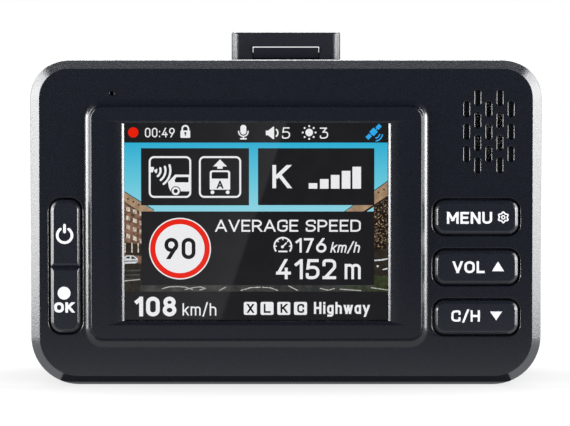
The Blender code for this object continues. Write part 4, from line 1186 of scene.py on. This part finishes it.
def readings(white, black):
    """Zone name, mean speed, distance, own speed, band badges and driving mode."""
    marks = screen_layer(7)
    marks.text("AVERAGE SPEED", (111.2, 287.4), (132.4, 117.8), 2.1)
    marks.stroke(arc(GAUGE_CENTRE, 10.4, 142, 398, 30), 2.0)
    for angle in range(180, 361, 45):
        marks.stroke(radial(GAUGE_CENTRE, angle, 7.4, 9.8), 1.5)
    marks.disc(NEEDLE_ROOT, 1.8).stroke([NEEDLE_ROOT, (197.6, 145.8)], 1.6)
    marks.stroke([(187.6, 156.4), (198.6, 156.4)], 1.9)
    marks.text("176", (207.8, 245.8), (157.8, 140.2), 2.7)
    marks.text("km/h", (250.4, 285.2), (157.8, 145.0), 1.7, slant=0.22)
    marks.text("4152", (184.8, 257.6), (190.2, 165.8), 3.6)
    marks.text("m", (268.0, 287.4), (190.2, 165.0), 3.2)
    marks.text("108", (12.3, 63.9), (235.6, 211.6), 4.8)
    marks.text("km/h", (71.4, 112.4), (234.6, 219.6), 1.75)
    for index in range(4):
        left = 145.7 + BADGE_PITCH * index
        marks.plate(rounded((left, left + 15.8), (218.0, 233.8), 2.0, steps=4))
    marks.text("Highway", (230.8, 298.4), (232.6, 218.0), 2.6)
    marks.build("screen_readings", white)
    letters = screen_layer(8)
    for index, letter in enumerate("XLKC"):
        left = 149.6 + BADGE_PITCH * index
        letters.text(letter, (left, left + 8.4), (231.4, 220.4), 2.2)
    letters.build("screen_badge_letters", black)


def display_glass(look):
    """The cover glass, with ground edges."""
    x_range, (front, back), z_range = ranges("display_glass")
    edge = [(1.0 * MM, front, 0), (0, front, 0.15 * MM), (0, back, 0.15 * MM), (1.0 * MM, back, 0)]
    glass = slab("cover_glass", x_range, z_range, 1.2 * MM, edge, 4)
    finish(glass, "case", "display_glass", look, "display_glass")


def punched_mesh(look):
    """The speaker's metal screen: a round sheet with staggered round holes."""
    (left, right), stations, _ = ranges("speaker_mesh")
    centre = middle_of("speaker_mesh")
    radius = (right - left) / 2
    row_pitch = MESH_PITCH * math.sqrt(3) / 2
    mesh = bmesh.new()
    rows = int(radius / row_pitch)
    for row in range(-rows, rows + 1):
        v = row * row_pitch
        for column in range(-rows - 2, rows + 3):
            u = (column + 0.5 * (row % 2)) * MESH_PITCH
            if math.hypot(u, v) < radius - MESH_PITCH / math.sqrt(3):
                add_mesh_cell(mesh, (centre.x + u, centre.z + v), stations)
    bmesh.ops.remove_doubles(mesh, verts=mesh.verts, dist=TINY / 2)
    border = [edge for edge in mesh.edges if len(edge.link_faces) == 1]
    bmesh.ops.bridge_loops(mesh, edges=border)
    finish(new_object("speaker_screen", mesh), "case", "bare_steel", look, "speaker_mesh")


def add_mesh_cell(mesh, centre, stations):
    """One hexagon of sheet round one hole, open at its six sides, where its neighbours join it.

    Its corners stand proud, as the knuckles of a woven screen do.
    """
    front, back = stations
    edge = (MESH_PITCH / 2, MESH_PITCH / math.sqrt(3))
    loops = []
    for radii, station, sunk in (
        (edge, front, KNUCKLE),
        ((MESH_HOLE + 0.03 * MM,) * 2, front + 0.06 * MM, 0.0),
        ((MESH_HOLE,) * 2, front + 0.11 * MM, 0.0),
        ((MESH_HOLE,) * 2, back, 0.0),
        (edge, back, 0.0),
    ):
        loop = []
        for step in range(12):
            angle = 2 * math.pi * step / 12
            reach = radii[step % 2]
            u, v = centre[0] + reach * math.cos(angle), centre[1] + reach * math.sin(angle)
            loop.append(mesh.verts.new((u, station + (0.0 if step % 2 else sunk), v)))
        loops.append(loop)
    for first, second in zip(loops, loops[1:]):
        bridge(mesh, first, second)


def shoe(look):
    """The mounting shoe: front stop, T-shaped rail and the pocket for the release tab."""
    (_, half), (front, back), (floor, top) = ranges("mount_shoe")
    base_z = BODY_HEIGHT + TINY
    edge = [
        (1.5 * MM, base_z, 0.0),
        (0.0, base_z, 0.12 * MM),
        (0.0, top, 0.42 * MM),
        (1.5 * MM, top, 0.0),
    ]
    block = slab("shoe_block", (-half, half), (front, back), 1.6 * MM, edge, 5, "Z")
    tab_x, (_, tab_back), (_, tab_top) = ranges("mount_release_button")
    stop_y = front + 2.2 * MM
    groove_z = (BODY_HEIGHT - OVER, floor + 1.9 * MM)
    tools = []
    for x_range in ((-half - OVER, -RAIL_FOOT), (RAIL_FOOT, half + OVER)):
        outline = rounded(x_range, (stop_y, back + OVER), 0.3 * MM, steps=4)
        tools.append(prism("groove", outline, groove_z, "Z"))
    pocket = rounded(grown(tab_x, SLIT), (front - OVER, tab_back + 0.8 * MM + GAP), 0.2 * MM, steps=4)
    tools.append(prism("pocket", pocket, (floor - OVER, tab_top + SLIT), "Z"))
    combine(block, gathered(tools))
    channel = rounded(grown(tab_x, GAP), (floor + 1.1 * MM, tab_top + 0.4 * MM), 0.15 * MM, steps=4)
    combine(block, prism("channel", channel, (tab_back, back + OVER)))
    combine(block, gathered(shoe_screw_cutters(floor - OVER, floor + 1.4 * MM)))
    finish(block, "case", "case_plastic", look, "mount_shoe")


def shoe_screw_cutters(start, end):
    places = [middle_of(f"shoe_screw_{number}").xy for number in (1, 2)]
    return [rod("shoe_hole", place, SHANK_HOLE_RADIUS, (start, end), "Z") for place in places]


def release_tab(look):
    """The sprung tab in the shoe's front: proud at its top edge, flush at its foot."""
    (_, half), (front, back), (floor, top) = ranges("mount_release_button")
    foot_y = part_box("mount_shoe")[0].y
    side = 0.16 * MM
    rings = []
    for inset, station in (
        (side, -half),
        (side * 0.3, -half + side * 0.3),
        (0.0, -half + side),
        (0.0, half - side),
        (side * 0.3, half - side * 0.3),
        (side, half),
    ):
        corners = [
            (back, floor + inset, 0.0),
            (foot_y + inset, floor + inset, 0.08 * MM),
            (front + inset, top - inset, 0.16 * MM),
            (back, top - inset, 0.0),
        ]
        rings.append((filleted(corners, 4), station))
    tab = loft("release_tab", rings, axis="X")
    finish(tab, "mount_release_button", "key_plastic", look, "mount_release_button")


def gloss_panel(look):
    """The gloss panel let into the back."""
    x_range, (front, back), z_range = ranges("rear_panel")
    edge = [(0.0, front, 0.0), (0.0, back, 0.4 * MM), (1.2 * MM, back, 0.0)]
    panel = slab("back_gloss_panel", x_range, z_range, PANEL_RADIUS, edge)
    combine(panel, gathered(back_cutters(back)))
    finish(panel, "case", "gloss_panel", look, "rear_panel")


def camera_pieces(trim_look, barrel_look, lens_look):
    """Trim ring with a stepped bore, lens barrel with fine baffle rings, and the coated front lens."""
    (left, right), (front, back), _ = ranges("lens_trim_ring")
    place = middle_of("lens_trim_ring").xz
    (barrel_left, barrel_right), (barrel_front, barrel_back), _ = ranges("lens_barrel")
    bore = (barrel_right - barrel_left) / 2 + GAP
    inner = CAMERA_HOLE_RADIUS - GAP
    outer = (right - left) / 2
    flange_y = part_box("rear_panel")[1].y + GAP
    profile = [
        (inner, front, 0),
        (inner, flange_y, 0),
        (outer, flange_y, 0.1 * MM),
        (outer, back - OVER, 0.5 * MM),
        (outer - OVER, back, 0.35 * MM),
        (8.9 * MM, back, 0.15 * MM),
        (bore, 19.2 * MM, 0.1 * MM),
        (bore, front, 0),
    ]
    ring = turned("camera_trim_ring", place, filleted(profile, 5), is_ring=True, steps=96)
    finish(ring, "case", "trim_metal", trim_look, "lens_trim_ring")
    barrel_radius = bore - GAP
    rings = [(barrel_radius, barrel_front), (barrel_radius, barrel_back - 0.8 * MM)]
    rings += [(barrel_radius - 0.4 * MM, barrel_back), (6.0 * MM, barrel_back)]
    for step in range(3):
        radius = (5.95 - 0.2 * step) * MM
        station = barrel_back - 0.3 * step * MM
        rings += [(radius, station - 0.15 * MM), (radius - 0.2 * MM, station - 0.15 * MM)]
    rings.append((5.35 * MM, LENS_SEAT_Y))
    barrel = turned("camera_barrel", place, rings, steps=96)
    finish(barrel, "case", "component_black", barrel_look, "lens_barrel")
    (lens_left, lens_right), (lens_front, lens_back), _ = ranges("lens_glass")
    radius = (lens_right - lens_left) / 2
    dome = [(radius - 0.3 * MM, lens_front), (radius, lens_front + 0.3 * MM)]
    for step in range(12):
        angle = math.pi / 2 * step / 12
        dome.append((radius * math.cos(angle), LENS_EDGE_Y + (lens_back - LENS_EDGE_Y) * math.sin(angle)))
    finish(turned("camera_lens", place, dome, steps=96), "case", "lens_glass", lens_look, "lens_glass")


def laser_window(look):
    x_range, (front, back), z_range = ranges("laser_window")
    edge = [(0.0, front, 0.0), (0.0, back, 0.5 * MM), (1.2 * MM, back, 0.0)]
    pane = slab("laser_pane", x_range, z_range, 2.0 * MM, edge)
    finish(pane, "case", "laser_window", look, "laser_window")


def cross_recess(centre, face, depth):
    """A tapered cross, as a cutter for a screw head."""
    arms = []
    for is_upright in (False, True):
        rings = []
        for share, station in ((1.25, face + OVER / 2), (1.0, face), (0.35, face - depth)):
            size = (2.0 * MM * share, 0.46 * MM * (0.6 + 0.4 * share))
            if is_upright:
                size = (size[1], size[0])
            rings.append((rectangle(span(centre[0], size[0]), span(centre[1], size[1])), station))
        arms.append(loft("arm", rings))
    combine(arms[0], arms[1], "UNION")
    return arms[0]


def screws(look):
    """Round-headed screws with a cross recess."""
    for number, place in enumerate(screw_places(), 1):
        node = f"case_screw_{number}"
        (left, right), (start, end), _ = ranges(node)
        head = (right - left) / 2
        seat = HEAD_SEAT_Y + GAP
        profile = [
            (1.0 * MM, start, 0),
            (1.0 * MM, seat, 0),
            (head, seat, 0.1 * MM),
            (head, end, 0.55 * MM),
            (0.2 * MM, end, 0),
        ]
        screw = turned(node + "_detail", place, filleted(profile, 6), steps=48)
        combine(screw, cross_recess(place, end, 0.9 * MM))
        finish(screw, "case", "screw_steel", look, node)


def memory_card(card_look, gold_look):
    """A small memory card: bevelled body, a notch at one edge, a finger ridge and gold contacts."""
    (left, right), (front, back), (low, high) = ranges("memory_card")
    outline = [
        (left, low),
        (right, low),
        (right, high - 1.6 * MM),
        (right - 1.0 * MM, high - 0.6 * MM),
        (right - 5.0 * MM, high - 0.6 * MM),
        (right - 5.6 * MM, high),
        (left, high),
    ]
    full = filleted([(u, v, 0.35 * MM) for u, v in outline], 5, is_closed=True)
    bevel = 0.15 * MM
    middle = Vector(((left + right) / 2, (low + high) / 2))
    small = []
    for point in full:
        arm = Vector(point) - middle
        small.append(tuple(middle + arm * Vector((1 - 0.02, 1 - 0.027))))
    contact_depth = 0.05 * MM
    rings = [(small, front), (full, front + bevel), (full, back - bevel), (small, back - contact_depth)]
    card = loft("memory_card_body", rings)
    ridge = rounded((left + 0.5 * MM, left + 1.3 * MM), grown((low, high), -1.2 * MM), 0.35 * MM, steps=5)
    combine(card, prism("groove", ridge, (front - OVER, front + 0.2 * MM)))
    finish(card, "memory_card", "card_plastic", card_look, "memory_card")
    contacts = Marks(back - contact_depth - TINY, contact_depth + TINY)
    for index in range(8):
        v_range = span(low + (1.6 + 1.1 * index) * MM, 0.75 * MM)
        contacts.plate(rounded((right - 3.2 * MM, right - 0.6 * MM), v_range, 0.15 * MM, steps=3))
    contacts.build("memory_card_contacts", gold_look, "memory_card", "card_plastic")


def inlet(shell_look, tongue_look):
    """The power inlet: a drawn metal shell and its black tongue."""
    (low_x, high_x), y_range, z_range = ranges("power_inlet")
    wall = 0.4 * MM
    floor_x = low_x + OVER
    rings = []
    for margin, station in (
        (0.0, low_x),
        (0.0, high_x - 0.1 * MM),
        (0.1 * MM, high_x),
        (wall - 0.05 * MM, high_x),
        (wall, high_x - 0.12 * MM),
        (wall, floor_x),
    ):
        corner = 1.2 * MM - margin * 0.8
        rings.append((rounded(grown(y_range, -margin), grown(z_range, -margin), corner, steps=10), station))
    finish(loft("inlet_shell", rings, axis="X"), "case", "bare_steel", shell_look, "power_inlet")
    y, z = sum(y_range) / 2, sum(z_range) / 2
    tip_x = high_x - 1.2 * MM
    edge = [(0.0, floor_x - GAP, 0.0), (0.0, tip_x, 0.15 * MM), (0.3 * MM, tip_x, 0.0)]
    rings = []
    for inset, station in filleted(edge, 4):
        tongue = rounded(span(y, 0.7 * MM - 2 * inset), span(z, 5.0 * MM - 2 * inset), 0.04 * MM, steps=4)
        rings.append((tongue, station))
    finish(loft("inlet_tongue", rings, axis="X"), "case", "component_black", tongue_look)


def carried_nodes():
    """Finishes for the CAD nodes that are kept as they are."""
    black = component_black()
    looks = {}
    for name, *finish_of in (
        ("lcd_panel", "cell_glass", (0.004, 0.004, 0.005), (0.006, 0.006, 0.007), 0.12, 0.2, 1.0, 0.0005),
        ("lcd_backlight", "white_tray", (0.66, 0.66, 0.64), (0.74, 0.74, 0.72), 0.34, 0.46),
        ("display_cable", "amber_film", (0.30, 0.13, 0.022), (0.42, 0.2, 0.04), 0.28, 0.42, 0.8),
        ("heat_sink", "anodised", (0.035, 0.035, 0.038), (0.055, 0.055, 0.06), 0.3, 0.44, 0.2, 0.002, 0.8),
        ("backup_battery", "battery_wrap", (0.2, 0.23, 0.28), (0.28, 0.31, 0.36), 0.25, 0.4, 0.8, 0.01),
        ("gps_antenna", "ceramic", (0.5, 0.44, 0.33), (0.6, 0.54, 0.42), 0.45, 0.62),
        ("radar_horn", "cast_alloy", (0.52, 0.52, 0.53), (0.66, 0.66, 0.67), 0.34, 0.5, 0.25, 0.006, 1.0),
    ):
        looks[name] = plain_look(*finish_of)
    shades = ((0.006, 0.055, 0.024), (0.014, 0.105, 0.045))
    board = surface("circuit_board", *shades, 2.2, (0.8, 0.26, 0.42), (0.9, 0.02), turn=(0.47, 0.53))
    bright = steel("stamped_steel", 0.58, 0.24, 0.38)
    switches = [name.replace("_button", "_switch") for name in KEYS]
    for look, names in (
        (board, ("main_board", "left_key_board", "right_key_board", "radar_board", "camera_board")),
        (bright, ("processor_shield", "memory_card_socket", "shoe_screw_1", "shoe_screw_2")),
        (black, ("speaker", "microphone", "lens_holder", "laser_sensor", *switches)),
    ):
        looks.update(dict.fromkeys(names, look))
    for name, look in looks.items():
        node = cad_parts[name]
        node.data.materials.clear()
        node.data.materials.append(look)


def add_pieces():
    shades = ((0.0060, 0.0080, 0.0134), (0.0077, 0.0102, 0.0168))
    key = surface("key_plastic", *shades, 0.4, (0.2, 0.235, 0.285), (0.09, 0.002), specular=1.0)
    shades = ((0.0062, 0.0078, 0.0134), (0.0078, 0.0098, 0.0162))
    shoe_look = surface("shoe_plastic", *shades, 0.6, (0.3, 0.34, 0.41), (0.12, 0.003), specular=0.7)
    shades = ((0.0044, 0.0054, 0.0082), (0.0064, 0.0078, 0.0112))
    rear = surface("rear_plastic", *shades, 0.6, (0.4, 0.54, 0.64), (0.32, 0.02), specular=0.4)
    shades = ((0.0035, 0.0035, 0.0042), (0.0055, 0.0055, 0.0065))
    gloss = surface("gloss_black", *shades, 6.0, (2.5, 0.04, 0.09))
    shades = ((0.022, 0.0008, 0.0015), (0.04, 0.0015, 0.0028))
    red = surface("laser_red", *shades, 4.0, (2.0, 0.04, 0.09))
    shades = ((0.78, 0.79, 0.83), (0.88, 0.89, 0.92))
    print_white = surface("white_print", *shades, 0.3, (0.2, 0.42, 0.6), (0.06, 0.001))
    black = component_black()
    front_shell(case_plastic())
    rear_shell(rear)
    for name in KEYS:
        key_cap(name, key)
    key_legends(print_white)
    screen_picture()
    display_glass(clear_glass())
    punched_mesh(steel("mesh_steel", 0.95, 0.2, 0.28))
    shoe(shoe_look)
    release_tab(shoe_look)
    gloss_panel(gloss)
    camera_pieces(steel("trim_metal", 0.26, 0.26, 0.36), black, lens_coating())
    laser_window(red)
    screws(steel("screw_steel", 0.42, 0.26, 0.38))
    memory_card(black, plain_look("gold", (0.75, 0.5, 0.16), (0.85, 0.6, 0.24), 0.2, 0.32, metallic=1.0))
    inlet(steel("inlet_steel", 0.3, 0.3, 0.42), black)
    carried_nodes()


CAMERA_DISTANCE = 0.60
CAMERA_ELEVATION = math.radians(2.7)
CAMERA_LENS = 205.1
SENSOR_WIDTH = 36.0
AIM = Vector((-0.00017, FRONT_Y, 0.03192))
FLOOR_SIZE = 6.0
GLARE = 0.19
GLARE_SLANT = (1.0, 0.00704, -0.333)
GLARE_EDGE = -0.016
GLARE_WIDTH = 0.07
GLARE_LEVELS = ((0.0, 0.0), (0.1, 0.08), (0.4, 0.27), (0.7, 0.55), (0.96, 1.0), (0.975, 0.0), (1.0, 0.0))
NEAR_BOUNCE = 0.46
FRONT_BOUNCE = 0.23
UNDER_BOUNCE = 0.07
SIDE_BOUNCE = 1.1
FRONT_RADIANCE = 24.0
SIDE_RADIANCE = (9.2, 8.5)
STRIP_GLOW = 6.5
TOP_RADIANCE = 18.0
BACK_RADIANCE = 1.5
ROOM = 0.05
CARD_Z = 0.0005


def studio_look(name, colour, strength):
    """A matt staged surface that gives off white light."""
    look = bpy.data.materials.new(name)
    look.use_nodes = True
    inputs = {"Base Color": (*colour, 1.0), "Roughness": 0.9, "Specular IOR Level": 0.0}
    inputs.update({"Emission Color": (1.0, 1.0, 1.0, 1.0), "Emission Strength": strength})
    plug(look.node_tree, look.node_tree.nodes["Principled BSDF"], inputs)
    return look


def soft_panel(name, place, aim, size, radiance):
    """A rectangular soft light of even radiance, which the camera doesn't see."""
    light = bpy.data.lights.new(name, "AREA")
    light.shape = "RECTANGLE"
    light.size, light.size_y = size
    light.energy = radiance * math.pi * size[0] * size[1]
    panel = bpy.data.objects.new(name, light)
    panel.location = place
    panel.rotation_mode = "QUATERNION"
    panel.rotation_quaternion = (Vector(aim) - Vector(place)).to_track_quat("-Z", "Y")
    panel.visible_camera = False
    bpy.context.collection.objects.link(panel)


def stage_sheet(name, corners, look, is_seen=False):
    """A flat staged sheet through corners; unseen ones only show in reflections."""
    mesh = bmesh.new()
    mesh.faces.new([mesh.verts.new(corner) for corner in corners])
    sheet = new_object(name, mesh)
    sheet.data.materials.append(look)
    sheet.visible_camera = is_seen
    sheet.visible_shadow = is_seen


def flag_look():
    """Black velvet with a faint glow on the left of a slanting line, dimmer farther left."""
    look = studio_look("flag", (0.01, 0.01, 0.01), 1.0)
    tree = look.node_tree
    place = tree.nodes.new("ShaderNodeNewGeometry").outputs["Position"]
    across = add_node(tree, "VectorMath", {0: place, 1: GLARE_SLANT}, "DOT_PRODUCT").outputs["Value"]
    share = remapped(tree, across, GLARE_EDGE - GLARE_WIDTH, GLARE_EDGE + 0.03 * GLARE_WIDTH)
    glow = ramped(tree, share, [(position, (level,) * 3) for position, level in GLARE_LEVELS])
    strength = add_node(tree, "Math", {0: glow, 1: GLARE}, "MULTIPLY").outputs[0]
    plug(tree, tree.nodes["Principled BSDF"], {"Emission Strength": strength})
    return look


def floor_with_painted_shadow():
    """Pale floor with its own light, a little dimmer close round the case: a painted contact shadow there, on
    top of the faint real one.
    """
    look = studio_look("floor", (0.06, 0.06, 0.061), 1.0)
    tree = look.node_tree
    place = tree.nodes.new("ShaderNodeNewGeometry").outputs["Position"]
    squeezed = add_node(tree, "Mapping", {"Vector": place, "Scale": (0.45, 1.0, 1.0)}).outputs[0]
    distance = add_node(tree, "VectorMath", {0: squeezed}, "LENGTH").outputs["Value"]
    # painted contact shadow: the floor gives off less light the closer it is to the case
    glow = remapped(tree, distance, 0.02, 0.05, 0.74, 1.0)
    plug(tree, tree.nodes["Principled BSDF"], {"Emission Strength": glow})
    return look


def studio():
    """White floor and surroundings, bright panels at both sides, dim ones above and behind."""
    scene = bpy.context.scene
    scene.view_settings.view_transform = "Standard"
    world = bpy.data.worlds.new("studio")
    world.use_nodes = True
    scene.world = world
    tree = world.node_tree
    path = tree.nodes.new("ShaderNodeLightPath")
    level = remapped(tree, path.outputs["Is Camera Ray"], 0.0, 1.0, ROOM, 1.0)
    plug(tree, tree.nodes["Background"], {"Color": (1.0, 1.0, 1.0, 1.0), "Strength": level})

    half = FLOOR_SIZE / 2
    corners = [(x, y, 0.0) for x, y in rectangle((-half, half), (-half, half))]
    stage_sheet("floor", corners, floor_with_painted_shadow(), is_seen=True)
    flag = flag_look()
    near_bounce, front_bounce, side_bounce, under_bounce, strip = (
        studio_look(name, (0.01, 0.01, 0.01), glow)
        for name, glow in (
            ("near_bounce", NEAR_BOUNCE),
            ("front_bounce", FRONT_BOUNCE),
            ("side_bounce", SIDE_BOUNCE),
            ("under_bounce", UNDER_BOUNCE),
            ("strip", STRIP_GLOW),
        )
    )
    for name, x_range, y_range, look in (
        ("left_strip", (-0.5, -0.17), (-0.3, 0.2), strip),
        ("right_strip", (0.17, 0.5), (-0.3, 0.2), strip),
        ("under_card", (-0.042, 0.042), (-0.022, 0.03), under_bounce),
        ("left_bounce_card", (-0.16, -0.042), (-0.022, 0.06), side_bounce),
        ("right_bounce_card", (0.042, 0.16), (-0.022, 0.06), side_bounce),
        ("near_bounce_card", (-0.25, 0.25), (-0.05, -0.022), near_bounce),
        ("front_bounce_card", (-0.25, 0.25), (-0.14, -0.05), front_bounce),
        ("front_flag", (-0.25, 0.25), (-1.0, -0.14), flag),
    ):
        stage_sheet(name, [(x, y, CARD_Z) for x, y in rectangle(x_range, y_range)], look)
    corners = [(x, -1.0, z) for x, z in rectangle((-0.5, 0.5), (CARD_Z, 0.7))]
    stage_sheet("back_flag", corners, flag)

    aim = (0.0, -0.01, 0.03)
    for side, name in ((-1, "left"), (1, "right")):
        soft_panel(name + "_front_panel", (side * 0.68, -0.43, 0.095), aim, (0.42, 0.19), FRONT_RADIANCE)
        soft_panel(name + "_side_panel", (side * 0.66, 0.08, 0.15), aim, (0.44, 0.30), SIDE_RADIANCE[0])
        soft_panel(name + "_upper_panel", (side * 0.62, 0.12, 0.44), aim, (0.44, 0.28), SIDE_RADIANCE[1])
    soft_panel("top_panel", (0.0, 0.45, 0.75), aim, (1.0, 0.4), TOP_RADIANCE)
    soft_panel("back_panel", (0.0, 1.4, 0.42), aim, (2.2, 0.8), BACK_RADIANCE)


def add_camera():
    """Level with the case's upper edge, looking slightly down at the screen side."""
    camera = bpy.data.cameras.new("camera")
    camera.lens = CAMERA_LENS
    camera.sensor_width = SENSOR_WIDTH
    eye = bpy.data.objects.new("camera", camera)
    away = Vector((0.0, -math.cos(CAMERA_ELEVATION), math.sin(CAMERA_ELEVATION)))
    eye.location = AIM + away * CAMERA_DISTANCE
    eye.rotation_mode = "QUATERNION"
    eye.rotation_quaternion = (-away).to_track_quat("-Z", "Y")
    bpy.context.collection.objects.link(eye)
    bpy.context.scene.camera = eye


add_pieces()
studio()
add_camera()
